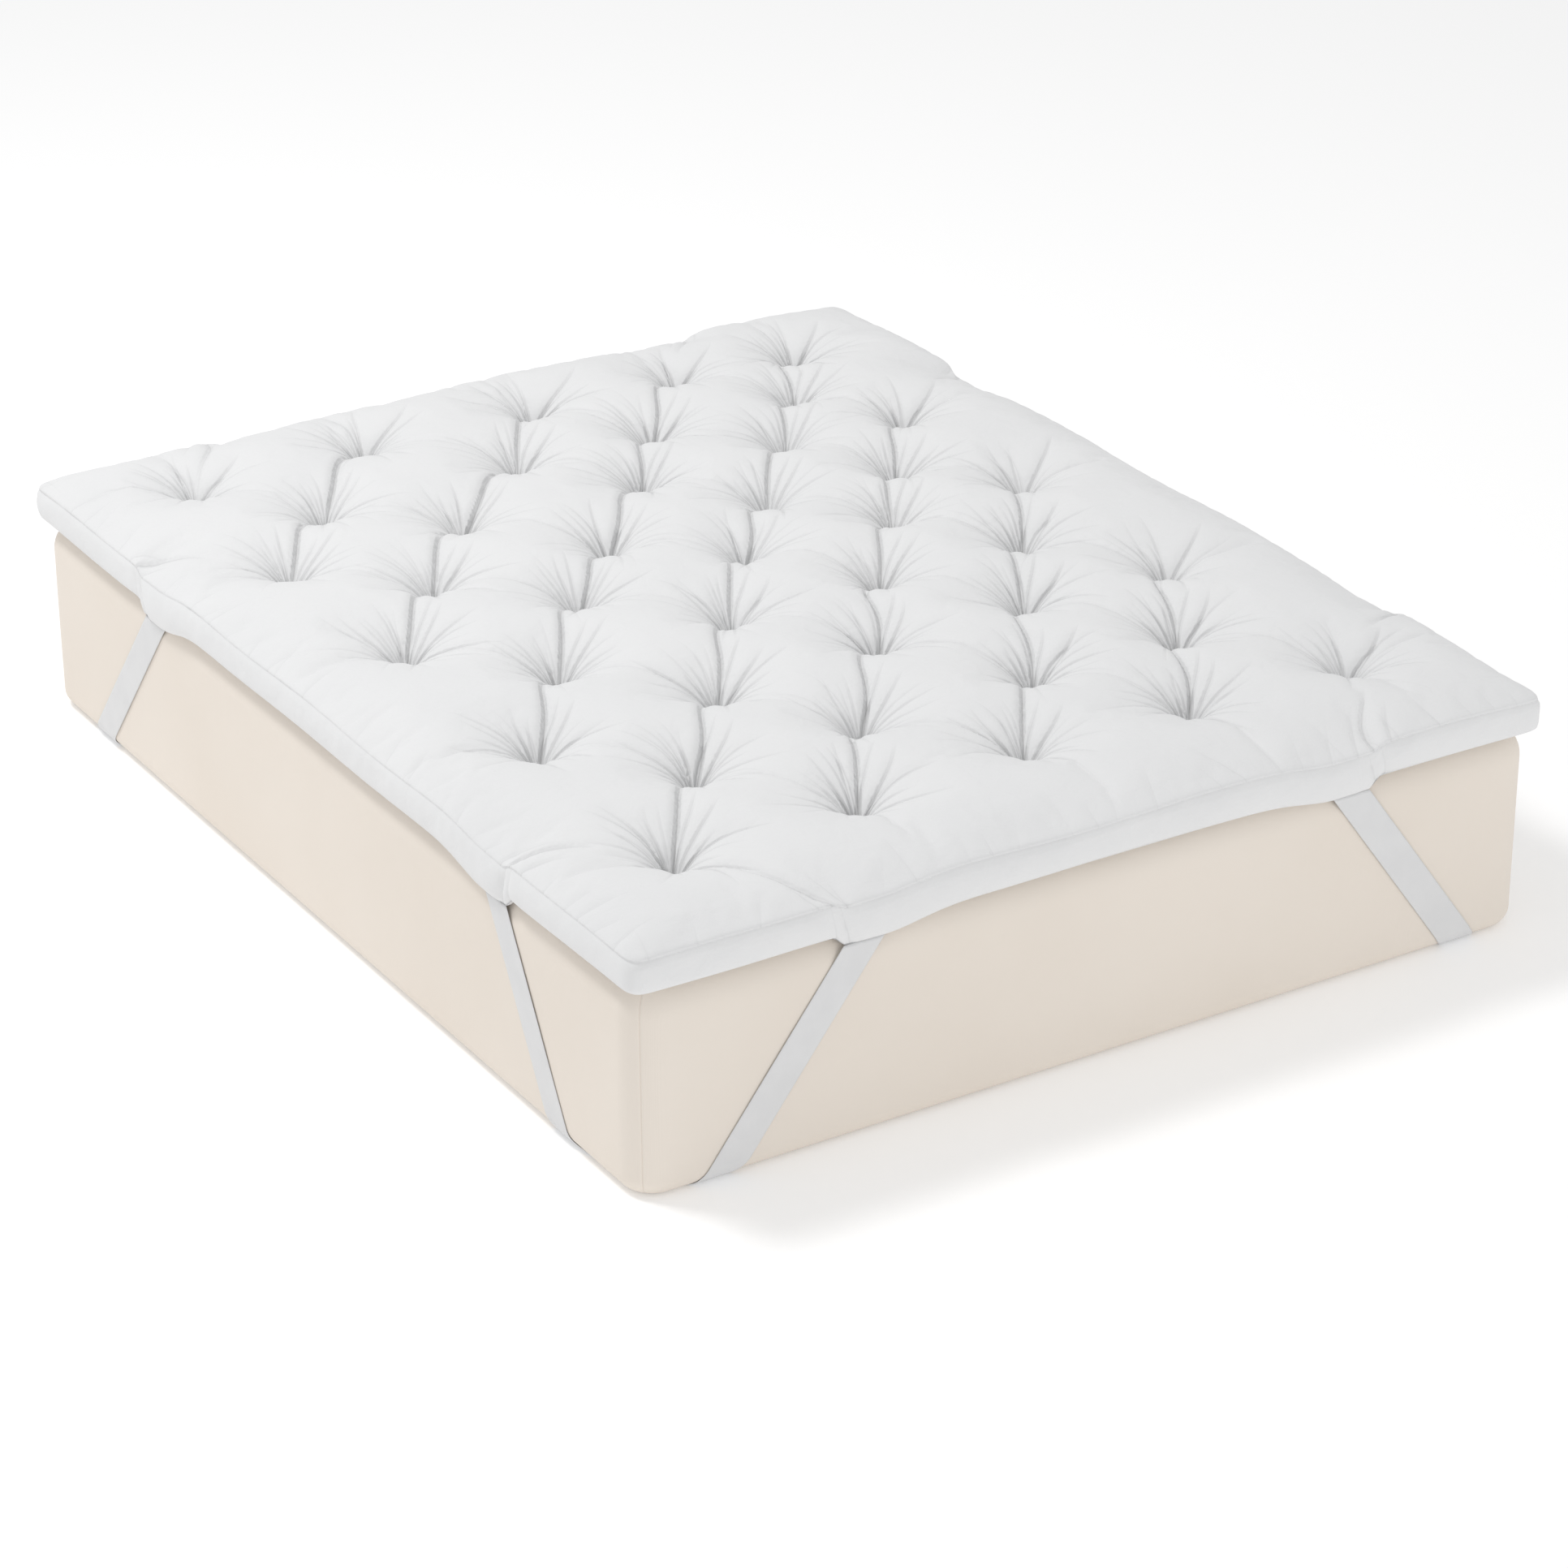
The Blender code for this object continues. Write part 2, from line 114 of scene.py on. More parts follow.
@dataclass(frozen=True)
class Crease:
    """One crease from above: a bowed line with its kind's look, deepest where it starts."""

    kind: CreaseKind
    start: Place
    end: Place
    bow: float = 0.0
    wiggle: float = 0.0
    strength: float = 1.0

    @property
    def look(self) -> CreaseLook:
        """Return the look of this crease's kind."""
        return CREASE_LOOKS[self.kind]

    @property
    def length(self) -> float:
        """Return the straight distance between the crease's ends."""
        return math.dist(self.start, self.end)

    def leftward(self) -> np.ndarray:
        """Return the unit direction to the left of the crease."""
        run = np.subtract(self.end, self.start) / self.length
        return np.array([-run[1], run[0]])

    def local(self, points: np.ndarray) -> tuple[np.ndarray, np.ndarray]:
        """Return each point's share of the way along the crease and how far left of its line it lies."""
        left = self.leftward()
        offset = points - np.array(self.start)
        share = offset @ np.array([left[1], -left[0]]) / self.length
        line = self.bow * 4 * share * (1 - share) + self.wiggle * np.sin(2 * np.pi * share)
        return share, offset @ left - line

    def weight(self, share: np.ndarray, start: float) -> np.ndarray:
        """Return how strong the crease is for each share of the way along it.

        Args:
            share: The share of the way, from 0 at the start to 1 at the end.
            start: The distance from the start over which the crease sets in, negative before the start.

        Returns:
            The strength, from zero to the crease's own.
        """
        fading = np.clip(1.0 - share, 0.0, 1.0) ** self.look.fade
        if start > 0:
            setting_in = np.clip(share * self.length / start, 0.0, 1.0) ** 2
        else:
            setting_in = np.clip(1.0 - share * self.length / start, 0.0, 1.0)
        return self.strength * fading * setting_in

    def depth_at(self, points: np.ndarray) -> np.ndarray:
        """Return how far down the crease presses each point.

        Args:
            points: Places on the top from above, one per row.

        Returns:
            The depth at each point, zero away from the crease.
        """
        share, away = self.local(points)
        away = away / (self.look.width * (1 + self.look.flare * np.clip(share, 0.0, 1.0)))
        away = np.where(away > 0, away * self.look.steepness, -away)
        return self.look.depth * self.weight(share, -self.look.width) * np.exp(-(away**1.3))


@dataclass
class Outline:
    """The topper's outline from above: a rectangle with round corners."""

    half_x: float = 0.81
    half_y: float = 1.01
    corner_radius: float = 0.06
    corner_power: float = 5.0

    def edge_gap(self, points: np.ndarray) -> np.ndarray:
        """Return how far each point of the plain rectangle lies inside its edge."""
        return np.minimum(self.half_x - np.abs(points[:, 0]), self.half_y - np.abs(points[:, 1]))

    def place(self, points: np.ndarray, inset: float | np.ndarray) -> np.ndarray:
        """Bring points of the rectangle onto the outline with round corners.

        Args:
            points: Points of the plain rectangle, one per row.
            inset: How far the outline is drawn in, one value or one per point.

        Returns:
            The moved points.
        """
        radius = self.corner_radius
        shrink = 1.0 - np.asarray(inset) / radius
        past_x = (np.abs(points[:, 0]) - (self.half_x - radius)) / radius
        past_y = (np.abs(points[:, 1]) - (self.half_y - radius)) / radius
        in_corner = (past_x > 0) & (past_y > 0)
        out_x, out_y = np.maximum(past_x, 0.0), np.maximum(past_y, 0.0)
        span = (out_x**self.corner_power + out_y**self.corner_power) ** (1 / self.corner_power)
        round_off = np.maximum(out_x, out_y) / np.maximum(span, 1e-9)
        scale = shrink * np.where(in_corner, round_off, 1.0) * radius
        new_x = np.where(past_x > 0, self.half_x - radius + past_x * scale, np.abs(points[:, 0]))
        new_y = np.where(past_y > 0, self.half_y - radius + past_y * scale, np.abs(points[:, 1]))
        return np.column_stack([np.copysign(new_x, points[:, 0]), np.copysign(new_y, points[:, 1])])


@dataclass(frozen=True)
class StrapPlan:
    """Where one strap runs: distances of its middle from the corner at the top and foot of both faces."""

    node: str
    sign_x: int
    sign_y: int
    end_top: float
    end_foot: float
    side_top: float
    side_foot: float


STRAP_PLANS = (
    StrapPlan("strap_front_left", -1, -1, 0.375, 0.134, 0.395, 0.220),
    StrapPlan("strap_front_right", 1, -1, 0.358, 0.128, 0.400, 0.210),
    StrapPlan("strap_back_left", -1, 1, 0.370, 0.132, 0.455, 0.202),
    StrapPlan("strap_back_right", 1, 1, 0.365, 0.130, 0.420, 0.210),
)


@dataclass
class MattressSizes:
    """The mattress's own sizes."""

    width: float = 1.60
    length: float = 2.00
    height: float = 0.34
    corner_radius: float = 0.055
    top_radius: float = 0.05
    foot_radius: float = 0.03


@dataclass
class EdgeHeights:
    """Heights of the topper's band and seam, which the straps draw down."""

    mattress: MattressSizes
    outline: Outline
    bottom: float = 0.341
    seam: float = 0.396
    corner_droop: float = 0.006
    corner_reach: float = 0.16
    wave: float = 0.0025
    wave_length: float = 0.47
    pull_level: float = 0.030
    pull_width_inner: float = 0.085
    pull_width_outer: float = 0.016
    pull_spread: float = 0.35
    end_pull: float = 0.019
    side_pulls: dict[int, float] = field(default_factory=lambda: {-1: 0.020, 1: 0.027})
    seam_share: float = 0.55
    pull_reach_inward: float = 0.10

    def from_strap(self, plan: StrapPlan, places: np.ndarray) -> tuple[np.ndarray, np.ndarray]:
        """Measure places along the edge from one strap.

        Args:
            plan: The strap.
            places: Places on the topper.

        Returns:
            How far each place lies past the strap's middle towards its corner, and how far down the
            strap draws the edge of that face, zero on the faces that it doesn't cross.
        """
        x, y = places[:, 0], places[:, 1]
        half_x, half_y = self.mattress.width / 2, self.mattress.length / 2
        on_end = np.abs(y) - half_y >= np.abs(x) - half_x
        off_end = plan.sign_x * x - (half_x - plan.end_top)
        off_side = plan.sign_y * y - (half_y - plan.side_top)
        reached = np.where(on_end, y * plan.sign_y > 0, x * plan.sign_x > 0)
        depth = np.where(on_end, self.end_pull, self.side_pulls[plan.sign_y]) * reached
        return np.where(on_end, off_end, off_side), depth

    def pull(self, places: np.ndarray) -> np.ndarray:
        """Return how far down the straps draw the topper at each place, fading inwards."""
        drop = np.zeros(len(places))
        inward = np.maximum(self.outline.edge_gap(places), 0.0)
        for plan in STRAP_PLANS:
            off, depth = self.from_strap(plan, places)
            width = np.where(off > 0, self.pull_width_outer + self.pull_spread * inward, self.pull_width_inner)
            past = np.maximum(np.abs(off) - self.pull_level, 0.0)
            drop += depth * np.exp(-((past / width) ** 2))
        return drop * np.exp(-((inward / self.pull_reach_inward) ** 2))

    def corner_nearness(self, places: np.ndarray) -> np.ndarray:
        """Return one at the corners, falling to nothing along the sides."""
        off = np.hypot(
            self.mattress.width / 2 - np.abs(places[:, 0]), self.mattress.length / 2 - np.abs(places[:, 1])
        )
        return np.exp(-((off / self.corner_reach) ** 2))

    def band_bottom(self, places: np.ndarray) -> np.ndarray:
        """Return the height of the band's lower edge."""
        phase = 2 * np.pi * (places[:, 0] - places[:, 1]) / self.wave_length
        return self.bottom + 0.5 * self.wave * np.sin(phase) - self.pull(places)

    def seam_height(self, places: np.ndarray) -> np.ndarray:
        """Return the height of the seam between the band and the top."""
        phase = 2 * np.pi * (places[:, 0] + places[:, 1]) / self.wave_length
        droop = self.corner_droop * self.corner_nearness(places)
        return self.seam + self.wave * np.sin(phase) - droop - self.seam_share * self.pull(places)


@dataclass
class Tufting:
    """The tufting stitches and every crease that they draw into the top."""

    outline: Outline
    rows: tuple[tuple[tuple[float, ...], tuple[float, ...]], ...] = (
        ((-0.605, -0.285, 0.020, 0.315, 0.605), (-0.775, -0.765, -0.750, -0.760, -0.775)),
        ((-0.435, -0.140, 0.180, 0.455), (-0.550, -0.545, -0.540, -0.540)),
        ((-0.595, -0.265, 0.040, 0.325, 0.590), (-0.365, -0.335, -0.315, -0.305, -0.325)),
        ((-0.430, -0.100, 0.180, 0.460), (-0.135, -0.105, -0.105, -0.100)),
        ((-0.600, -0.270, 0.050, 0.340, 0.600), (0.050, 0.085, 0.100, 0.100, 0.100)),
        ((-0.440, -0.125, 0.200, 0.450), (0.260, 0.240, 0.270, 0.265)),
        ((-0.615, -0.285, 0.060, 0.360, 0.590), (0.420, 0.450, 0.450, 0.475, 0.455)),
        ((-0.460, -0.080, 0.185, 0.480), (0.610, 0.630, 0.630, 0.640)),
        ((-0.600, -0.270, 0.060, 0.350, 0.585), (0.810, 0.835, 0.835, 0.830, 0.810)),
    )
    hook_shift: Place = (-0.033, -0.011)
    fan_wedges: tuple[tuple[float, float, int], ...] = (
        (68.0, 132.0, 9),
        (-40.0, 18.0, 4),
        (140.0, 205.0, 5),
        (222.0, 318.0, 6),
    )
    fan_reach: tuple[float, float] = (0.065, 0.160)
    pucker_pitch: float = 0.045
    pucker_reach: tuple[float, float] = (0.030, 0.100)
    strap_crease_reach: float = 0.13
    strap_crease_place: float = 0.034
    strap_crease_lean: float = 0.009
    seed: int = 11

    def points(self) -> np.ndarray:
        """Return the tufts' places, row by row."""
        return np.array([place for across, along in self.rows for place in zip(across, along)])

    def neighbour_pairs(self) -> list[tuple[Place, Place]]:
        """Return each pair of slanting neighbours, the one nearer the front first."""
        pairs = []
        for lower, upper in zip(self.rows, self.rows[1:]):
            lower_points, upper_points = list(zip(*lower)), list(zip(*upper))
            shift = 0 if len(lower_points) > len(upper_points) else -1
            for index, start in enumerate(lower_points):
                for other in (index - 1 - shift, index - shift):
                    if 0 <= other < len(upper_points):
                        pairs.append((start, upper_points[other]))
        return pairs

    def lattice_creases(self, rng: np.random.Generator) -> list[Crease]:
        """Return the creases that join slanting neighbours."""
        creases = []
        for start, end in self.neighbour_pairs():
            run = np.subtract(end, start)
            if run[0] > 0:
                hook = np.array(self.hook_shift) * rng.uniform(0.75, 1.2)
                bow, wiggle = rng.uniform(-0.006, 0.004), rng.uniform(-0.006, 0.002)
                creases.append(Crease(CreaseKind.DEEP, start, tuple(end + hook), bow, wiggle))
                curl = end + 1.35 * hook
                creases.append(Crease(CreaseKind.HOOK, end, tuple(curl), 0.006, 0.002))
                ahead = run / np.hypot(*run)
                rightward = np.array([ahead[1], -ahead[0]])
                tip = curl - rng.uniform(0.035, 0.065) * ahead - rng.uniform(0.002, 0.012) * rightward
                creases.append(Crease(CreaseKind.BESIDE, tuple(curl), tuple(tip), 0.003, 0.001, 0.7))
                tip = np.add(start, run * rng.uniform(0.45, 0.65)) + rng.uniform(0.014, 0.030) * rightward
                creases.append(Crease(CreaseKind.BESIDE, start, tuple(tip), rng.uniform(-0.004, 0.004), 0.002))
            else:
                bow = rng.uniform(-0.012, 0.004)
                middle = np.add(start, run * rng.uniform(0.65, 0.95))
                creases.append(Crease(CreaseKind.ACROSS, start, tuple(middle), bow, 0.003, rng.uniform(0.5, 1.2)))
                middle = np.subtract(end, run * rng.uniform(0.4, 0.7))
                creases.append(Crease(CreaseKind.ACROSS, end, tuple(middle), -bow, -0.003, rng.uniform(0.3, 1.0)))
        return creases

    def fan_creases(self, rng: np.random.Generator) -> list[Crease]:
        """Return the fine creases that spread from each tuft."""
        creases = []
        for tuft in self.points():
            angle = math.radians(rng.uniform(24.0, 40.0))
            tip = tuft + rng.uniform(0.12, 0.16) * np.array([math.cos(angle), math.sin(angle)])
            creases.append(Crease(CreaseKind.BESIDE, tuple(tuft), tuple(tip), rng.uniform(-0.014, -0.006)))
            for first, last, count in self.fan_wedges:
                for step in range(count):
                    slot = (step + rng.uniform(0.2, 0.8)) / count
                    angle = math.radians(first + (last - first) * slot)
                    reach = rng.uniform(*self.fan_reach)
                    tip = tuft + reach * np.array([math.cos(angle), math.sin(angle)])
                    bow = rng.uniform(-0.08, 0.08) * reach
                    strength = rng.uniform(0.45, 1.15)
                    creases.append(Crease(CreaseKind.FAN, tuple(tuft), tuple(tip), bow, 0.0, strength))
        return creases

    def edge_creases(self, rng: np.random.Generator) -> list[Crease]:
        """Return the creases from the outer tufts towards the seam."""
        half_x, half_y = self.outline.half_x, self.outline.half_y
        ends = []
        for across, along in self.rows[::2]:
            ends.append(((across[0], along[0]), (-half_x, along[0])))
            ends.append(((across[-1], along[-1]), (half_x, along[-1])))
        for side, row in ((-half_y, self.rows[0]), (half_y, self.rows[-1])):
            ends += [((x, y), (x, side)) for x, y in zip(*row)]
        creases = []
        for start, end in ends:
            slant = rng.uniform(-0.04, 0.04)
            tip = (end[0] + slant * (abs(end[1]) == half_y), end[1] + slant * (abs(end[0]) == half_x))
            bow, wiggle = rng.uniform(-0.012, 0.012), rng.uniform(-0.005, 0.005)
            creases.append(Crease(CreaseKind.TO_EDGE, start, tip, bow, wiggle, rng.uniform(0.15, 0.6)))
        return creases

    def strap_creases(self, rng: np.random.Generator) -> list[Crease]:
        """Return the creases that the straps draw into the top's rim, from the seam inwards."""
        half_x, half_y = self.outline.half_x, self.outline.half_y
        tufts = self.points()
        creases = []
        for plan in STRAP_PLANS:
            place = self.strap_crease_place - self.strap_crease_lean * plan.sign_x
            heads = (
                (np.array([plan.sign_x * (half_x - plan.end_top + place), plan.sign_y * half_y]), (0, 1)),
                (np.array([plan.sign_x * half_x, plan.sign_y * (half_y - plan.side_top + place)]), (1, 0)),
            )
            for head, way in heads:
                nearest = tufts[np.argmin(np.linalg.norm(tufts - head, axis=1))]
                to_tuft = nearest - head
                inward = to_tuft / np.linalg.norm(to_tuft)
                whole = 0.95 * np.linalg.norm(to_tuft)
                reach = whole if way == (0, 1) and plan.sign_x < 0 else self.strap_crease_reach
                tip = head + inward * reach
                creases.append(Crease(CreaseKind.AT_STRAP, tuple(head), tuple(tip), 0.012, 0.004))
                for step in (-1, 1):
                    beside = head + np.array(way[::-1]) * step * rng.uniform(0.018, 0.035)
                    tip = beside + inward * rng.uniform(0.05, 0.10)
                    creases.append(Crease(CreaseKind.AT_STRAP, tuple(beside), tuple(tip), 0.004, 0.0, 0.45))
        return creases

    def seam_puckers(self, rng: np.random.Generator) -> list[Crease]:
        """Return the short creases that the gathered seam draws into the top's rim."""
        half_x, half_y = self.outline.half_x, self.outline.half_y
        creases = []
        sides = (((-1, -1), (1, 0)), ((1, -1), (0, 1)), ((1, 1), (-1, 0)), ((-1, 1), (0, -1)))
        for corner, way in sides:
            first = np.array(corner) * (half_x, half_y)
            length = 2 * (half_x if way[0] else half_y)
            inward = np.array([-way[1], way[0]])
            for step in range(round(length / self.pucker_pitch)):
                at = first + np.array(way) * (step + rng.uniform(0.1, 0.9)) * self.pucker_pitch
                lean = np.array(way) * rng.uniform(-0.7, 0.7)
                tip = at + (inward + lean) * rng.uniform(*self.pucker_reach)
                strength = rng.uniform(0.2, 1.0) ** 1.5
                creases.append(Crease(CreaseKind.PUCKER, tuple(at), tuple(tip), 0.0, 0.0, strength))
        return creases

    def creases(self) -> list[Crease]:
        """Return every crease, in the same order each time."""
        rng = np.random.default_rng(self.seed)
        makers = (self.lattice_creases, self.fan_creases, self.edge_creases, self.strap_creases, self.seam_puckers)
        return [crease for maker in makers for crease in maker(rng)]


@dataclass
class CreasePattern:
    """All the creases of the top, and what they do to it together."""

    creases: list[Crease]
    reach: float = 0.06
    deepest: float = 0.020
    gather: float = 0.45
    gather_reach: float = 0.011
    gather_at_tuft: float = 0.40
    tuft_reach: float = 0.026
    most_gathered: float = 0.0045

    def near(self, crease: Crease, points: np.ndarray) -> np.ndarray:
        """Return the numbers of the points that lie round one crease."""
        low = np.minimum(crease.start, crease.end) - self.reach
        high = np.maximum(crease.start, crease.end) + self.reach
        return np.flatnonzero(np.all((points > low) & (points < high), axis=1))

    def depth(self, points: np.ndarray) -> np.ndarray:
        """Return how far down the creases press each point, held back where many meet."""
        total = np.zeros(len(points))
        for crease in self.creases:
            near = self.near(crease, points)
            total[near] += crease.depth_at(points[near])
        return self.deepest * np.tanh(total / self.deepest)

    def gathered(self, points: np.ndarray, tufts: np.ndarray) -> np.ndarray:
        """Draw the grid's points closer to the creases and tufts, so that they are finest there.

        Args:
            points: The grid's places from above.
            tufts: The tufts' places.

        Returns:
            The moved places.
        """
        shift = np.zeros_like(points)
        to_tuft = np.min(np.linalg.norm(points[:, None, :] - tufts[None], axis=2), axis=1)
        clear = 1.0 - np.exp(-((to_tuft / (1.3 * self.tuft_reach)) ** 2))
        for crease in self.creases:
            if not crease.look.gathers:
                continue
            near = self.near(crease, points)
            share, away = crease.local(points[near])
            inside = np.clip(4 * share, 0.0, 1.0) * np.clip(4 * (1 - share), 0.0, 1.0) * clear[near]
            pull = self.gather * away * np.exp(-((away / self.gather_reach) ** 2)) * inside
            shift[near] -= pull[:, None] * crease.leftward()
        for tuft in tufts:
            offset = points - tuft
            near = np.exp(-((np.linalg.norm(offset, axis=1) / self.tuft_reach) ** 2))
            shift -= self.gather_at_tuft * offset * near[:, None]
        size = np.linalg.norm(shift, axis=1)
        return points + shift * np.minimum(1.0, self.most_gathered / np.maximum(size, 1e-9))[:, None]

    def lines(self, points: np.ndarray, faces: np.ndarray) -> tuple[np.ndarray, np.ndarray]:
        """Work out the thin folds at the bottom of the creases.

        Each face carries its nearest folds, all measured at its own corners, so that each stays one line.

        Args:
            points: Places on the top from above.
            faces: The top's triangles, as point numbers.

        Returns:
            For each corner of each face, how far it lies left of the folds and how strong they are there.
        """
        middles = points[faces].mean(axis=1)
        ranks = np.full((len(faces), FOLDS_A_FACE), np.inf)
        offsets = np.full((len(faces), 3, FOLDS_A_FACE), OUT_OF_REACH)
        strengths = np.zeros((len(faces), 3, FOLDS_A_FACE))
        for crease in self.creases:
            width = crease.look.line_width
            near = self.near(crease, middles)
            share, away = crease.local(middles[near])
            start = max(crease.look.line_start, width)
            strong = crease.look.line * crease.weight(share, start)
            rank = np.abs(away) / width / np.maximum(strong, 0.05)
            slot = np.argmax(ranks[near], axis=1)
            chosen = (np.abs(away) < FOLD_REACH * width) & (strong > 0) & (rank < ranks[near, slot])
            near, slot = near[chosen], slot[chosen]
            share, away = crease.local(points[faces[near]].reshape(-1, 2))
            ranks[near, slot] = rank[chosen]
            offsets[near, :, slot] = away.reshape(-1, 3) / width
            strengths[near, :, slot] = crease.look.line * crease.weight(share, start).reshape(-1, 3)
        return offsets, strengths


def distance_to_line(points: np.ndarray, start: Place, end: Place) -> np.ndarray:
    """Return each point's distance from a straight line between two places."""
    run = np.subtract(end, start)
    share = np.clip((points - start) @ run / (run @ run), 0.0, 1.0)
    return np.linalg.norm(points - start - share[:, None] * run, axis=1)


@dataclass
class PanelCloth:
    """Settings of the cloth that the top panel is simulated as."""

    cell: float = 0.009
    frames: int = 12
    quality: int = 4
    growth: float = 0.012
    growth_at_tufts: float = 0.055
    growth_reach: float = 0.08
    pressure: float = 2.6
    stretch_stiffness: float = 30.0
    shear_stiffness: float = 8.0
    bend_stiffness: float = 0.05
    mass: float = 0.05
    held_radius: float = 0.010
    cap: float = 0.011

    def settle(self, points: np.ndarray, faces: list, held: np.ndarray, loose: np.ndarray) -> np.ndarray:
        """Let the panel swell and wrinkle as cloth.

        Args:
            points: The panel's points in space.
            faces: Its faces, as point numbers.
            held: Which points the seams and tufts hold.
            loose: How much fuller than elsewhere the cloth is cut at each point, from 0 to 1.

        Returns:
            How far each point moves, no further than the cap.
        """
        mesh = bpy.data.meshes.new("panel_trial")
        mesh.from_pydata(points.tolist(), [], faces)
        panel = bpy.data.objects.new("panel_trial", mesh)
        bpy.context.scene.collection.objects.link(panel)
        hold = panel.vertex_groups.new(name="hold")
        hold.add([int(index) for index in np.flatnonzero(held)], 1.0, "REPLACE")
        fullness = panel.vertex_groups.new(name="fullness")
        for index in np.flatnonzero(loose > 0.02):
            fullness.add([int(index)], float(loose[index]), "REPLACE")
        cloth = panel.modifiers.new("swell", "CLOTH")
        settings = cloth.settings
        settings.vertex_group_mass = hold.name
        settings.vertex_group_shrink = fullness.name
        settings.shrink_min, settings.shrink_max = -self.growth, -self.growth_at_tufts
        settings.quality, settings.mass = self.quality, self.mass
        settings.tension_stiffness = settings.compression_stiffness = self.stretch_stiffness
        settings.shear_stiffness, settings.bending_stiffness = self.shear_stiffness, self.bend_stiffness
        settings.use_pressure, settings.uniform_pressure_force = True, self.pressure
        settings.effector_weights.gravity = 0
        cloth.collision_settings.use_collision = False
        cloth.point_cache.frame_start, cloth.point_cache.frame_end = 1, self.frames
        for step in range(1, self.frames + 1):
            bpy.context.scene.frame_set(step)
        swollen = panel.evaluated_get(bpy.context.evaluated_depsgraph_get())
        moved = np.empty(len(points) * 3, np.float32)
        swollen.data.vertices.foreach_get("co", moved)
        bpy.data.objects.remove(panel, do_unlink=True)
        bpy.data.meshes.remove(mesh)
        bpy.context.scene.frame_set(1)
        shift = moved.reshape(-1, 3) - points
        size = np.linalg.norm(shift, axis=1)
        LOG.info("cloth moved %.1f mm on average, %.1f mm at most", size.mean() * 1000, size.max() * 1000)
        return shift * np.minimum(1.0, self.cap / np.maximum(size, 1e-9))[:, None]


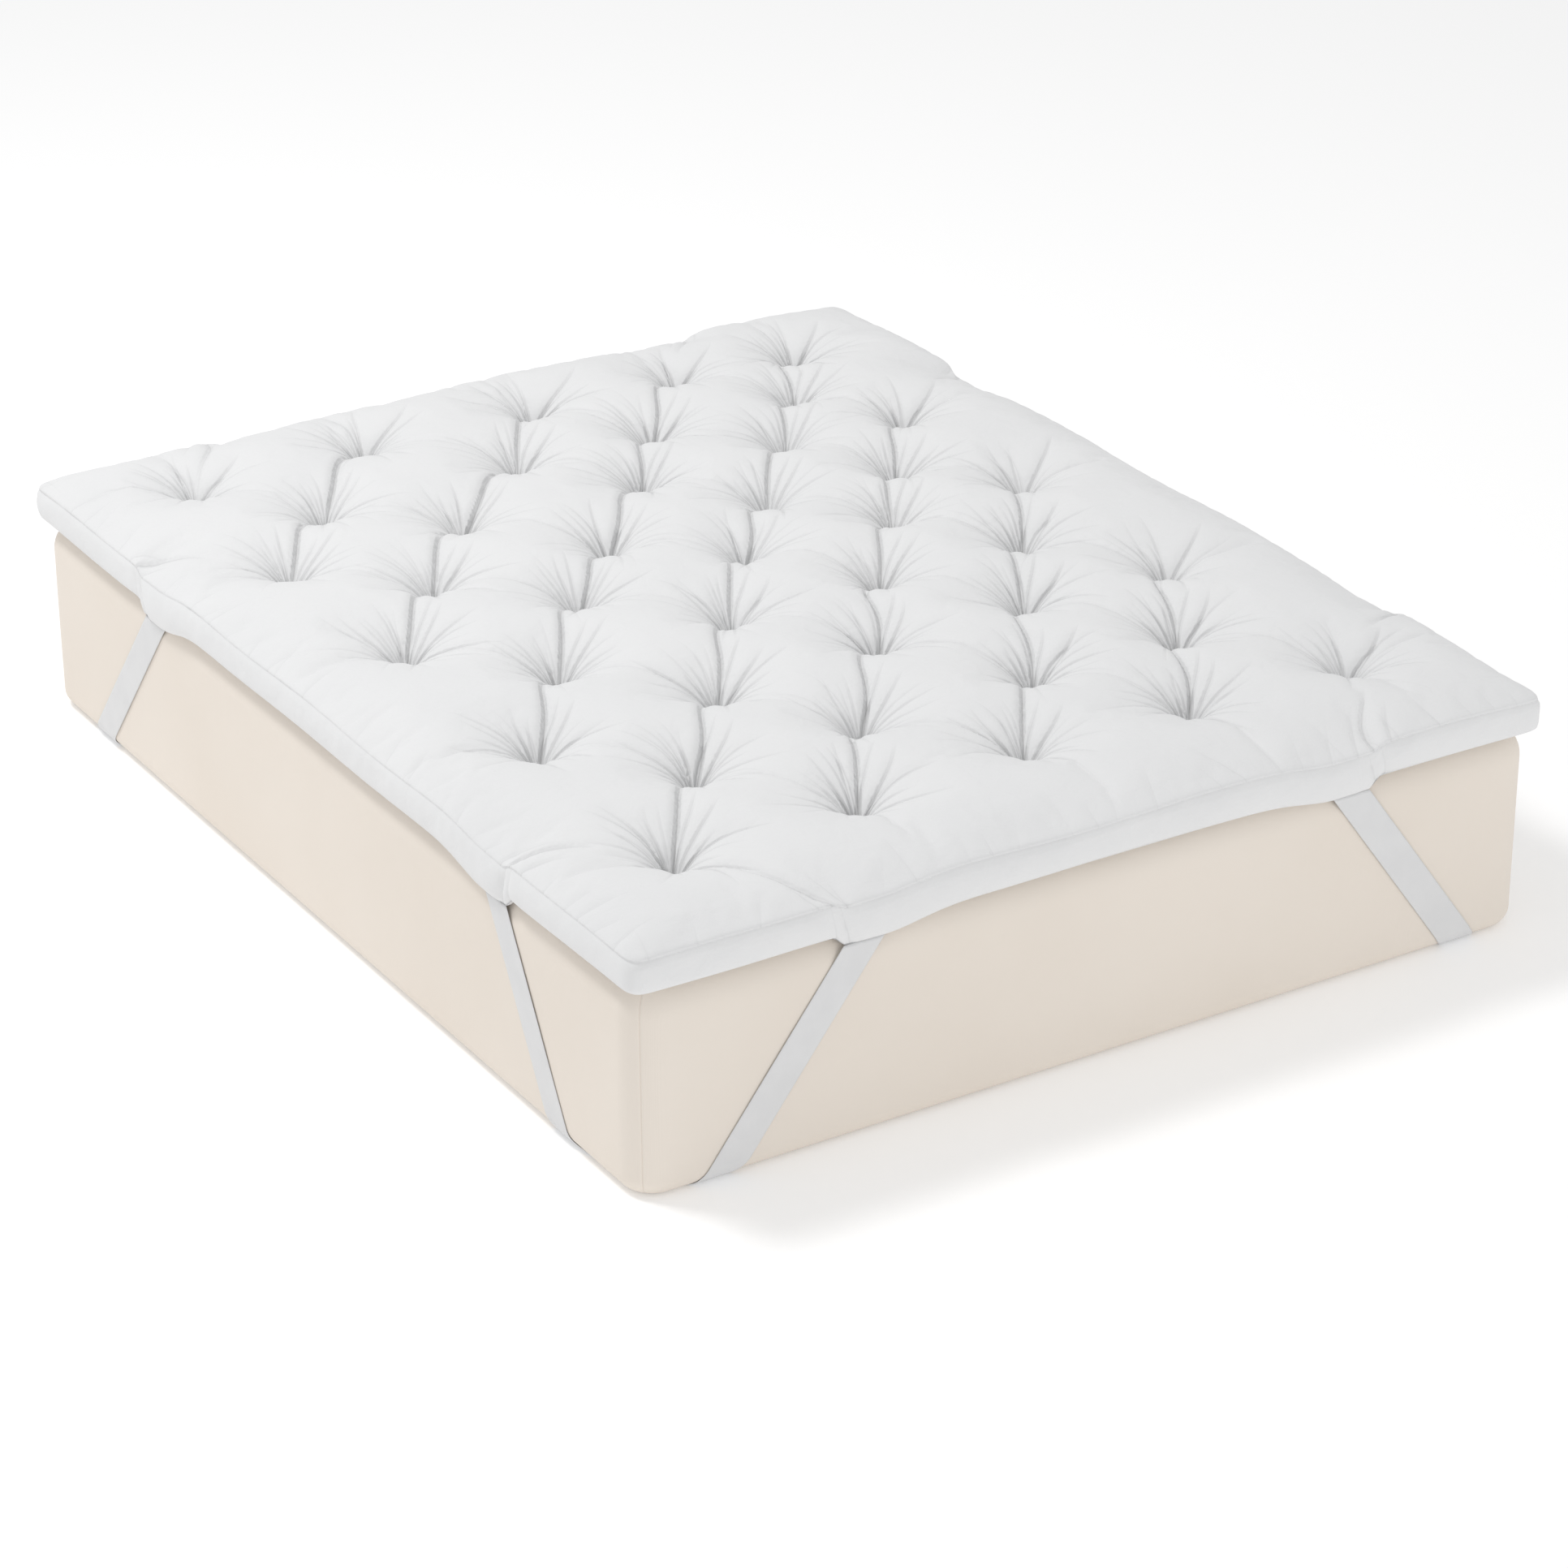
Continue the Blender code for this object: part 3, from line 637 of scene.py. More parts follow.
@dataclass(frozen=True)
class ClothFinish:
    """A matt woven finish: two near shades in soft patches, a fine weave and a soft crumple, and on folded cloth
    painted shade along the folds.
    """

    name: str
    light: Colour
    shade: Colour
    roughness: float
    sheen: float
    patch_scale: float
    weave_pitch: float
    weave_depth: float
    crumple_scale: float
    crumple_depth: float
    folded: bool = False
    # How strongly painted shade darkens the colour along the folds, standing in for the shade in the creases.
    fold_painted_shade: float = 0.45
    fold_depth: float = 0.0038

    def fold_sum(self, nodes: bpy.types.Nodes, links: bpy.types.NodeLinks, reach: float) -> bpy.types.NodeSocket:
        """Add the folds that the cloth's faces carry, and return how strong they are together.

        Args:
            nodes: The material's nodes.
            links: The material's links.
            reach: How wide each fold is, in half widths of its thin line.

        Returns:
            The socket that holds the folds' strength.
        """
        parts = []
        for name in FOLD_ATTRIBUTES:
            source = nodes.new("ShaderNodeAttribute")
            source.attribute_name = name
            split = nodes.new("ShaderNodeSeparateXYZ")
            links.new(source.outputs["Vector"], split.inputs["Vector"])
            parts.append(split)
        total = None
        for slot in range(FOLDS_A_FACE):
            away = nodes.new("ShaderNodeMath")
            away.operation = "ABSOLUTE"
            links.new(parts[0].outputs[slot], away.inputs[0])
            line = nodes.new("ShaderNodeMapRange")
            line.interpolation_type = "SMOOTHSTEP"
            line.inputs["From Max"].default_value = reach
            line.inputs["To Min"].default_value = 1.0
            line.inputs["To Max"].default_value = 0.0
            links.new(away.outputs["Value"], line.inputs["Value"])
            strong = nodes.new("ShaderNodeMath")
            strong.operation = "MULTIPLY_ADD"
            links.new(line.outputs["Result"], strong.inputs[0])
            links.new(parts[1].outputs[slot], strong.inputs[1])
            if total is not None:
                links.new(total, strong.inputs[2])
            total = strong.outputs["Value"]
        return total

    def material(self) -> bpy.types.Material:
        """Return the finish as a node material."""
        material = bpy.data.materials.new(self.name)
        material.use_nodes = True
        nodes, links = material.node_tree.nodes, material.node_tree.links
        shader = nodes["Principled BSDF"]
        shader.inputs["Roughness"].default_value = self.roughness
        shader.inputs["Sheen Weight"].default_value = self.sheen
        shader.inputs["Sheen Roughness"].default_value = 0.5
        shader.inputs["Specular IOR Level"].default_value = 0.25
        place = nodes.new("ShaderNodeTexCoord").outputs["Object"]

        patches = nodes.new("ShaderNodeTexNoise")
        patches.inputs["Scale"].default_value = self.patch_scale
        patches.inputs["Detail"].default_value = 5.0
        links.new(place, patches.inputs["Vector"])
        shades = nodes.new("ShaderNodeValToRGB")
        shades.color_ramp.elements[0].position, shades.color_ramp.elements[1].position = 0.35, 0.65
        shades.color_ramp.elements[0].color = (*self.shade, 1.0)
        shades.color_ramp.elements[1].color = (*self.light, 1.0)
        links.new(patches.outputs["Fac"], shades.inputs["Fac"])
        colour = shades.outputs["Color"]
        # Painted shade: along the folds the colour is mixed towards a darker tint, standing in for the shade that
        # falls in the creases.
        if self.folded:
            painted_shade_amount = nodes.new("ShaderNodeMath")
            painted_shade_amount.operation = "MULTIPLY"
            painted_shade_amount.use_clamp = True
            painted_shade_amount.inputs[1].default_value = self.fold_painted_shade
            links.new(self.fold_sum(nodes, links, 1.0), painted_shade_amount.inputs[0])
            crease_painted_shade = nodes.new("ShaderNodeMixRGB")
            crease_painted_shade.inputs["Color2"].default_value = tuple(0.55 * value for value in self.shade) + (1.0,)
            links.new(painted_shade_amount.outputs["Value"], crease_painted_shade.inputs["Fac"])
            links.new(colour, crease_painted_shade.inputs["Color1"])
            colour = crease_painted_shade.outputs["Color"]
        links.new(colour, shader.inputs["Base Color"])

        height = None
        for axis in ("X", "Y", "Z"):
            threads = nodes.new("ShaderNodeTexWave")
            threads.bands_direction = axis
            threads.inputs["Scale"].default_value = 1.0 / self.weave_pitch / 3.18
            threads.inputs["Distortion"].default_value = 0.4
            links.new(place, threads.inputs["Vector"])
            if height is None:
                height = threads.outputs["Fac"]
                continue
            both = nodes.new("ShaderNodeMath")
            both.operation = "ADD"
            links.new(height, both.inputs[0])
            links.new(threads.outputs["Fac"], both.inputs[1])
            height = both.outputs["Value"]
        weave = nodes.new("ShaderNodeBump")
        weave.inputs["Strength"].default_value = 0.35
        weave.inputs["Distance"].default_value = self.weave_depth
        links.new(height, weave.inputs["Height"])

        crumple = nodes.new("ShaderNodeTexNoise")
        crumple.inputs["Scale"].default_value = self.crumple_scale
        crumple.inputs["Detail"].default_value = 4.0
        crumple.inputs["Distortion"].default_value = 0.6
        links.new(place, crumple.inputs["Vector"])
        folds = nodes.new("ShaderNodeBump")
        folds.inputs["Strength"].default_value = 0.5
        folds.inputs["Distance"].default_value = self.crumple_depth
        links.new(crumple.outputs["Fac"], folds.inputs["Height"])
        links.new(weave.outputs["Normal"], folds.inputs["Normal"])
        normal = folds.outputs["Normal"]
        if self.folded:
            pressed = nodes.new("ShaderNodeBump")
            pressed.invert = True
            pressed.inputs["Strength"].default_value = 0.7
            pressed.inputs["Distance"].default_value = self.fold_depth
            links.new(self.fold_sum(nodes, links, DENT_REACH), pressed.inputs["Height"])
            links.new(normal, pressed.inputs["Normal"])
            normal = pressed.outputs["Normal"]
        links.new(normal, shader.inputs["Normal"])
        return material


COTTON = ClothFinish(
    "bleached cotton", (0.890, 0.892, 0.896), (0.872, 0.875, 0.880), 0.92, 0.10, 6.0, 0.0011, 0.00006, 26.0, 0.0045,
    folded=True,
)
COVER = ClothFinish(
    "cream cover cloth", (0.82, 0.754, 0.68), (0.80, 0.731, 0.654), 0.9, 0.08, 3.0, 0.0013, 0.00008, 9.0, 0.003
)
ELASTIC = ClothFinish(
    "white elastic", (0.745, 0.747, 0.752), (0.72, 0.722, 0.728), 0.85, 0.05, 20.0, 0.0016, 0.00015, 40.0, 0.0006
)


def make_object(name: str, points: np.ndarray, faces: list, material: bpy.types.Material) -> bpy.types.Object:
    """Make a smooth-shaded object from points and faces.

    Args:
        name: The piece's name.
        points: Its points in space.
        faces: Its faces, as point numbers.
        material: Its finish.

    Returns:
        The new object.
    """
    mesh = bpy.data.meshes.new(name)
    mesh.from_pydata([tuple(point) for point in np.asarray(points).tolist()], [], faces)
    mesh.materials.append(material)
    mesh.shade_smooth()
    mesh.validate()
    obj = bpy.data.objects.new(name, mesh)
    bpy.context.scene.collection.objects.link(obj)
    return obj


def join_rings(upper: np.ndarray, lower: np.ndarray) -> list[tuple[int, int, int, int]]:
    """Return the faces between two closed rings of point numbers, facing out when seen from outside."""
    return list(zip(np.roll(upper, -1).tolist(), upper.tolist(), lower.tolist(), np.roll(lower, -1).tolist()))


@dataclass
class Topper:
    """The filled topper: a tufted top, a boxed band round its sides and an underside on the mattress."""

    outline: Outline
    heights: EdgeHeights
    tufting: Tufting
    mattress: MattressSizes
    cell: float = 0.0067
    rim_rows: tuple[float, ...] = (0.0015, 0.004, 0.008)
    seam_inset: float = 0.004
    seam_line: float = 0.0011
    seam_strength: float = 0.2
    crown_rise: float = 0.038
    start_share: float = 0.80
    tuft_depth: float = 0.012
    edge_round: float = 0.15
    pinch_radius: float = 0.047
    pinch_power: float = 1.25
    trough_width: float = 0.030
    trough_depth: float = 0.14
    across_trough_depth: float = 0.05
    edge_trough_depth: float = 0.07
    pit_depth: float = 0.013
    pit_radius: float = 0.011
    strap_fold_depth: float = 0.0060
    strap_fold_width: float = 0.009
    strap_fold_line: float = 0.0026
    # How strongly the strap folds on the band are drawn, as painted shade in the colour and as a bump.
    strap_fold_painted_shade_and_bump: float = 0.35
    strap_folds: tuple[tuple[float, float, float], ...] = ((0.034, 0.018, 1.0), (0.054, 0.012, 0.7))
    rest_gap: float = 0.0003
    edge_gap: float = 0.0025
    underside_insets: tuple[float, ...] = (0.0075, 0.0105, 0.015, 0.022, 0.030, 0.040, 0.057)
    band_rings: int = 9
    band_bulge: float = 0.0055
    groove_depth: float = 0.0004

    def grid(self, cell: float, rim_rows: tuple[float, ...]) -> tuple[np.ndarray, int, int]:
        """Return a flat grid over the top.

        Args:
            cell: The distance between grid lines.
            rim_rows: How far in the extra grid lines beside the seam lie.

        Returns:
            The grid's places, row by row, its number of columns and its number of rows.
        """
        lines = []
        for half in (self.outline.half_x, self.outline.half_y):
            insets = (0.0, *rim_rows)
            inner = half - insets[-1]
            even = np.linspace(-inner, inner, round(2 * inner / cell) + 1)
            rim = half - np.array(insets[:-1])
            lines.append(np.concatenate([-rim, even, rim[::-1]]))
        x, y = np.meshgrid(*lines)
        return np.column_stack([x.ravel(), y.ravel()]), len(lines[0]), len(lines[1])

    def rim(self, columns: int, rows: int) -> np.ndarray:
        """Return the grid numbers of the top's rim, anticlockwise from above."""
        near = list(range(columns))
        right = [row * columns + columns - 1 for row in range(1, rows)]
        far = [(rows - 1) * columns + column for column in range(columns - 2, -1, -1)]
        left = [row * columns for row in range(rows - 2, 0, -1)]
        return np.array(near + right + far + left)

    def fullness(self, flat: np.ndarray) -> np.ndarray:
        """Return the puffs' fullness: none at a tuft, one on an open crown."""
        full = np.ones(len(flat))
        for tuft in self.tufting.points():
            off = np.linalg.norm(flat - tuft, axis=1)
            full *= 1.0 - np.exp(-((off / self.pinch_radius) ** self.pinch_power))
        lines = []
        for start, end in self.tufting.neighbour_pairs():
            lines.append(((start, end), self.trough_depth if end[0] > start[0] else self.across_trough_depth))
        rows = self.tufting.rows
        for across, along in rows[::2]:
            for index, edge in ((0, -self.outline.half_x), (-1, self.outline.half_x)):
                tuft = (across[index], along[index])
                lines.append(((tuft, (edge, along[index])), self.edge_trough_depth))
        for edge, row in ((-self.outline.half_y, rows[0]), (self.outline.half_y, rows[-1])):
            lines += [(((x, y), (x, edge)), self.edge_trough_depth) for x, y in zip(*row)]
        for (start, end), depth in lines:
            off = distance_to_line(flat, start, end)
            full *= 1.0 - depth * np.exp(-((off / self.trough_width) ** 1.5))
        return full

    def swelling(self, flat: np.ndarray, gap: np.ndarray) -> np.ndarray:
        """Return the height of the puffed top without its creases.

        Args:
            flat: Places on the top from above.
            gap: How far each lies inside the edge.

        Returns:
            The heights.
        """
        rise = np.sqrt(1.0 - (1.0 - np.clip(gap / self.edge_round, 0.0, 1.0)) ** 2)
        full = self.fullness(flat)
        swell = self.start_share * self.crown_rise * full - self.tuft_depth * (1.0 - full)
        return self.heights.seam_height(flat) + rise * swell

    def to_tuft(self, flat: np.ndarray) -> np.ndarray:
        """Return each place's distance from the nearest tuft."""
        return np.min(np.linalg.norm(flat[:, None, :] - self.tufting.points()[None], axis=2), axis=1)

    def cloth_shift(self, pattern: CreasePattern, places: np.ndarray) -> np.ndarray:
        """Simulate the top panel as cloth and return how far it moves at each place.

        Args:
            pattern: The creases, which the cloth starts from.
            places: The places on the top to read the movement at.

        Returns:
            The movement in space, one row for each place.
        """
        cloth = PanelCloth()
        square, columns, rows = self.grid(cloth.cell, ())
        gap = self.outline.edge_gap(square)
        flat = self.outline.place(square, self.seam_inset)
        pressed = pattern.depth(flat) * np.clip(gap / 0.02, 0.0, 1.0)
        points = np.column_stack([flat, self.swelling(flat, gap) - pressed])
        first = (np.arange(rows - 1)[:, None] * columns + np.arange(columns - 1)).ravel()
        faces = np.column_stack([first, first + 1, first + columns + 1, first + columns]).tolist()
        to_tuft = self.to_tuft(flat)
        held = (gap < 1e-6) | (to_tuft < cloth.held_radius)
        loose = np.exp(-((to_tuft / cloth.growth_reach) ** 2))
        moved = cloth.settle(points, faces, held, loose)
        moved = (moved * np.clip(gap / 0.03, 0.0, 1.0)[:, None]).reshape(rows, columns, 3)
        half = np.array([self.outline.half_x, self.outline.half_y])
        steps = (places + half) / (2 * half) * (columns - 1, rows - 1)
        low = np.clip(np.floor(steps).astype(int), 0, (columns - 2, rows - 2))
        part = (steps - low)[:, :, None]
        column, row = low[:, 0], low[:, 1]
        near = moved[row, column] * (1 - part[:, 0]) + moved[row, column + 1] * part[:, 0]
        far = moved[row + 1, column] * (1 - part[:, 0]) + moved[row + 1, column + 1] * part[:, 0]
        return near * (1 - part[:, 1]) + far * part[:, 1]

    def top(self, square: np.ndarray, pattern: CreasePattern) -> tuple[np.ndarray, np.ndarray]:
        """Shape the top: puffs, the cloth's own wrinkles and then the creases.

        Args:
            square: The flat grid on the plain rectangle.
            pattern: The creases.

        Returns:
            The top's points in space, and their places from above before the cloth moved them.
        """
        gap = self.outline.edge_gap(square)
        flat = self.outline.place(square, self.seam_inset)
        drawn = pattern.gathered(flat, self.tufting.points())
        flat = flat + (drawn - flat) * np.clip((gap - 0.01) / 0.03, 0.0, 1.0)[:, None]
        points = np.column_stack([flat, self.swelling(flat, gap)])
        points += self.cloth_shift(pattern, flat)
        calm = 0.25 + 0.75 * np.clip(gap / 0.02, 0.0, 1.0)
        points[:, 2] -= pattern.depth(flat) * calm * np.clip(gap / 0.006, 0.0, 1.0)
        points[:, 2] -= self.pit_depth * np.exp(-self.to_tuft(flat) / self.pit_radius)
        return points, flat

    def top_faces(self, points: np.ndarray, columns: int, rows: int) -> np.ndarray:
        """Return the top's triangles, each grid cell split along its lower diagonal, as creases run."""
        first = (np.arange(rows - 1)[:, None] * columns + np.arange(columns - 1)).ravel()
        corners = np.column_stack([first, first + 1, first + columns + 1, first + columns])
        height = points[corners, 2]
        rising = height[:, 0] + height[:, 2] <= height[:, 1] + height[:, 3]
        one = np.where(rising[:, None], corners[:, [0, 1, 2]], corners[:, [0, 1, 3]])
        two = np.where(rising[:, None], corners[:, [0, 2, 3]], corners[:, [1, 2, 3]])
        return np.concatenate([one, two])

    def underside_height(self, inset: float, bottom: np.ndarray) -> np.ndarray:
        """Return the underside's height: flat on the mattress, then down over its rounded edge."""
        radius = self.mattress.top_radius
        overhang = self.outline.half_x - self.mattress.width / 2
        past_edge = min(max(radius + overhang - inset, 0.0), radius)
        edge = self.mattress.height - radius + math.sqrt(radius**2 - past_edge**2)
        return np.minimum(self.mattress.height + self.rest_gap, np.maximum(bottom, edge + self.edge_gap))

    def ripple(self, places: np.ndarray, share: float) -> np.ndarray:
        """Return how far the band stands out at each place, for a share of its height from the seam down."""
        run = np.arctan2(places[:, 1], places[:, 0]) * 1.1
        slow = 0.0012 * np.sin(9 * run + 1.0) + 0.0009 * np.sin(17 * run + 2.3) * math.sin(3 * share + 0.5)
        quick = 0.00055 * np.sin(61 * run + 0.4) + 0.0005 * np.sin(97 * run + 2.1) * math.cos(5 * share)
        near_seam = math.exp(-((share / 0.35) ** 2))
        pucker = 0.0009 * np.sin(173 * run + 3 * np.sin(11 * run)) * near_seam
        return slow + quick + pucker

    def from_strap_folds(self, places: np.ndarray, share: float) -> np.ndarray:
        """Return how far places on the band lie from the folds of their nearest strap.

        Args:
            places: Places along the band.
            share: The share of the band's height, from the seam down.

        Returns:
            The distances, a column for each fold.
        """
        away = np.full((len(places), len(self.strap_folds)), np.inf)
        for plan in STRAP_PLANS:
            off, pulled = self.heights.from_strap(plan, places)
            for index, (middle, lean, _) in enumerate(self.strap_folds):
                here = off - middle - lean * plan.sign_x * (share - 0.5)
                nearer = (pulled > 0) & (np.abs(here) < np.abs(away[:, index]))
                away[nearer, index] = here[nearer]
        return away

    def store_folds(self, mesh: bpy.types.Mesh, top_folds: tuple, band_folds: tuple) -> None:
        """Store the folds with the corners of the mesh's faces, where the finish reads them.

        Args:
            mesh: The topper's mesh, whose first faces are the top's triangles.
            top_folds: Offsets and strengths of the top's folds, for each corner of each triangle.
            band_folds: Offsets and strengths of the band's folds and the seam, for each point.
        """
        corners = np.empty(len(mesh.loops), np.int32)
        mesh.loops.foreach_get("vertex_index", corners)
        count = 3 * len(top_folds[0])
        seam_offset = band_folds[0][corners[:count], SEAM_SLOT].reshape(-1, 3)
        at_seam = np.repeat((np.abs(seam_offset) < FOLD_REACH).any(axis=1), 3)
        for name, on_top, on_band in zip(FOLD_ATTRIBUTES, top_folds, band_folds):
            values = on_band[corners]
            seam = values[:count, SEAM_SLOT].copy()
            values[:count] = on_top.reshape(-1, FOLDS_A_FACE)
            values[:count, SEAM_SLOT][at_seam] = seam[at_seam]
            attribute = mesh.attributes.new(name, "FLOAT_VECTOR", "CORNER")
            attribute.data.foreach_set("vector", values.astype(np.float32).ravel())

    def band_profile(self) -> list[tuple[float, float]]:
        """Return the band's rings as pairs: share of the way down from the seam, and inset."""
        rings = [(0.018, self.seam_inset + self.groove_depth), (0.045, self.seam_inset - 0.0004)]
        for step in range(1, self.band_rings + 1):
            share = 0.045 + 0.905 * step / self.band_rings
            bow = math.sin(math.pi * min(share, 1.0)) ** 0.6
            rings.append((share, self.seam_inset - self.band_bulge * bow))
        rings.append((0.985, self.seam_inset + 0.0015))
        return rings

    def build(self) -> bpy.types.Object:
        """Build the topper as one closed piece and dress it."""
        square, columns, rows = self.grid(self.cell, self.rim_rows)
        pattern = CreasePattern(self.tufting.creases())
        top, flat = self.top(square, pattern)
        top_faces = self.top_faces(top, columns, rows)
        top_folds = pattern.lines(flat, top_faces)
        faces = top_faces.tolist()
        rim = self.rim(columns, rows)
        places = square[rim]
        seam = top[rim, 2]
        bottom = self.heights.band_bottom(places)
        rings, points = [rim], [top]
        count = len(top)
        fold_strengths = np.array([strength for _, _, strength in self.strap_folds])
        whole = len(top) + len(rim) * (len(self.band_profile()) + len(self.underside_insets)) + 1
        offsets = np.full((whole, FOLDS_A_FACE), OUT_OF_REACH)
        strengths = np.zeros((whole, FOLDS_A_FACE))
        rise = top[:, 2] - self.heights.seam_height(flat)
        offsets[: len(top), SEAM_SLOT] = np.hypot(self.outline.edge_gap(square), rise) / self.seam_line
        offsets[rim, :SEAM_SLOT] = self.from_strap_folds(places, 0.0) / self.strap_fold_line
        # The strap folds on the band get painted shade in the colour and a bump, weaker near the seam.
        strap_fold_painted_shades_and_bumps = self.strap_fold_painted_shade_and_bump * fold_strengths
        strengths[rim, :SEAM_SLOT] = 0.4 * strap_fold_painted_shades_and_bumps
        for share, inset in self.band_profile():
            away = self.from_strap_folds(places, share)
            dent = self.strap_fold_depth * np.exp(-np.abs(away) / self.strap_fold_width) @ fold_strengths
            inset_here = inset - self.ripple(places, share) * math.sin(math.pi * share)
            inset_here = inset_here + dent * min(4 * share, 1.0)
            height = seam + (bottom - seam) * share
            points.append(np.column_stack([self.outline.place(places, inset_here), height]))
            ring = np.arange(count, count + len(rim))
            offsets[ring, :SEAM_SLOT] = away / self.strap_fold_line
            offsets[ring, SEAM_SLOT] = (height - seam) / self.seam_line
            strengths[ring, :SEAM_SLOT] = (0.4 + 0.6 * share) * strap_fold_painted_shades_and_bumps
            rings.append(ring)
            count += len(rim)
        strengths[:count, SEAM_SLOT] = self.seam_strength
        for inset in self.underside_insets:
            flat = self.outline.place(places, inset)
            points.append(np.column_stack([flat, self.underside_height(inset, bottom)]))
            rings.append(np.arange(count, count + len(rim)))
            count += len(rim)
        points.append(np.array([[0.0, 0.0, self.mattress.height + self.rest_gap]]))
        for upper, lower in zip(rings, rings[1:]):
            faces += join_rings(upper, lower)
        last = rings[-1]
        faces += [(int(after), int(before), count) for before, after in zip(last, np.roll(last, -1))]
        topper = make_object("topper_cotton", np.concatenate(points), faces, COTTON.material())
        self.store_folds(topper.data, top_folds, (offsets, strengths))
        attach(topper, ROOT_BODY)
        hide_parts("topper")
        return topper


@dataclass
class StrapRun:
    """The line that a strap takes down one face, round the foot and under the mattress."""

    mattress: MattressSizes
    heights: EdgeHeights
    width: float = 0.055
    thickness: float = 0.0015
    gap: float = 0.0005
    head_gap: float = 0.001
    floor_gap: float = 0.0005
    turn_start: float = 0.015
    flat_run: float = 0.004

    def flat_angle(self) -> float:
        """Return where the strap leaves the rounded foot, as an angle down its arc."""
        reach = self.mattress.foot_radius + self.gap + self.thickness / 2
        return math.asin((self.mattress.foot_radius - self.floor_gap - self.thickness / 2) / reach)

    def wrap(self, run: float, lift: float) -> tuple[float, float]:
        """Return the depth into the mattress and the height of a strap point.

        Args:
            run: The way down the face, zero where the foot's arc starts.
            lift: The distance outwards from the strap's middle.

        Returns:
            The depth and the height.
        """
        radius = self.mattress.foot_radius
        reach = radius + self.gap + self.thickness / 2
        if run <= 0:
            return radius - reach - lift, radius - run
        turned, last = run / radius, self.flat_angle()
        if turned < last:
            return radius - (reach + lift) * math.cos(turned), radius - (reach + lift) * math.sin(turned)
        depth = radius - reach * math.cos(last) + run - radius * last
        return depth, radius - reach * math.sin(last) - lift

    def bend_share(self, run: float) -> float:
        """Return how much of the strap's turn lies above this run, summed along the run."""
        flat = self.mattress.foot_radius * self.flat_angle()
        span = flat - self.turn_start
        part = min(max((run - self.turn_start) / span, 0.0), 1.0)
        return span * (part**3 - part**4 / 2) + max(run - flat, 0.0)

    def half_lines(
        self, top: float, foot: float, other_foot: float, start: float, half_width: float, pitch: float
    ) -> list[tuple[float, float, float]]:
        """Return the strap's level cross lines on one face.

        Args:
            top: Distance of the strap's middle from the corner at its head.
            foot: The same at the foot.
            other_foot: The same at the foot of the other face.
            start: The height of the strap's head.
            half_width: Half the strap's width.
            pitch: The distance between cross lines.

        Returns:
            The run and both edges' distances from the corner, line by line.
        """
        head = self.mattress.foot_radius - start
        turn = self.mattress.foot_radius * math.pi / 4
        flat = self.mattress.foot_radius * self.flat_angle()
        under_slope = -foot / other_foot
        turned = self.bend_share(turn)
        face_slope = (foot - top - under_slope * turned) / (turn - head - turned)
        straight = np.linspace(head, 0.0, max(round(-head / pitch), 2) + 1)
        bent = np.linspace(0.0, flat, 21)[1:]
        lines = []
        for run in [*straight.tolist(), *bent.tolist(), flat + self.flat_run]:
            share = min(max((run - self.turn_start) / (flat - self.turn_start), 0.0), 1.0)
            slope = face_slope + (under_slope - face_slope) * share**2 * (3 - 2 * share)
            middle = top + face_slope * (run - head) + (under_slope - face_slope) * self.bend_share(run)
            reach = half_width * math.hypot(1.0, slope)
            lines.append((run, middle - reach, middle + reach))
        return lines

    def corner_place(
        self, plan: StrapPlan, face: Face, from_corner: float, depth: float, height: float
    ) -> tuple[float, float, float]:
        """Return a place by a corner in space, from its distances along and into one face."""
        half_x, half_y = self.mattress.width / 2, self.mattress.length / 2
        if face is Face.END:
            x, y = half_x - from_corner, half_y - depth
        else:
            x, y = half_x - depth, half_y - from_corner
        return plan.sign_x * x, plan.sign_y * y, height

    def lines(
        self, plan: StrapPlan, half_width: float, pitch: float
    ) -> list[tuple[Face, float, float, float]]:
        """Return the whole strap's cross lines from one end to the other.

        Args:
            plan: Where the strap runs.
            half_width: Half the strap's width.
            pitch: The distance between cross lines.

        Returns:
            The face, the run and both edges' distances from the corner, line by line.
        """
        outline = self.heights.outline
        half_x, half_y = self.mattress.width / 2, self.mattress.length / 2
        on_end = np.array([[plan.sign_x * (half_x - plan.end_top), plan.sign_y * outline.half_y]])
        on_side = np.array([[plan.sign_x * outline.half_x, plan.sign_y * (half_y - plan.side_top)]])
        end_start = float(self.heights.band_bottom(on_end)[0]) - self.head_gap
        side_start = float(self.heights.band_bottom(on_side)[0]) - self.head_gap
        end_half = self.half_lines(
            plan.end_top, plan.end_foot, plan.side_foot, end_start, half_width, pitch
        )
        side_half = self.half_lines(
            plan.side_top, plan.side_foot, plan.end_foot, side_start, half_width, pitch
        )
        first = [(Face.END, *line) for line in end_half]
        return first + [(Face.LONG_SIDE, *line) for line in side_half[::-1]]


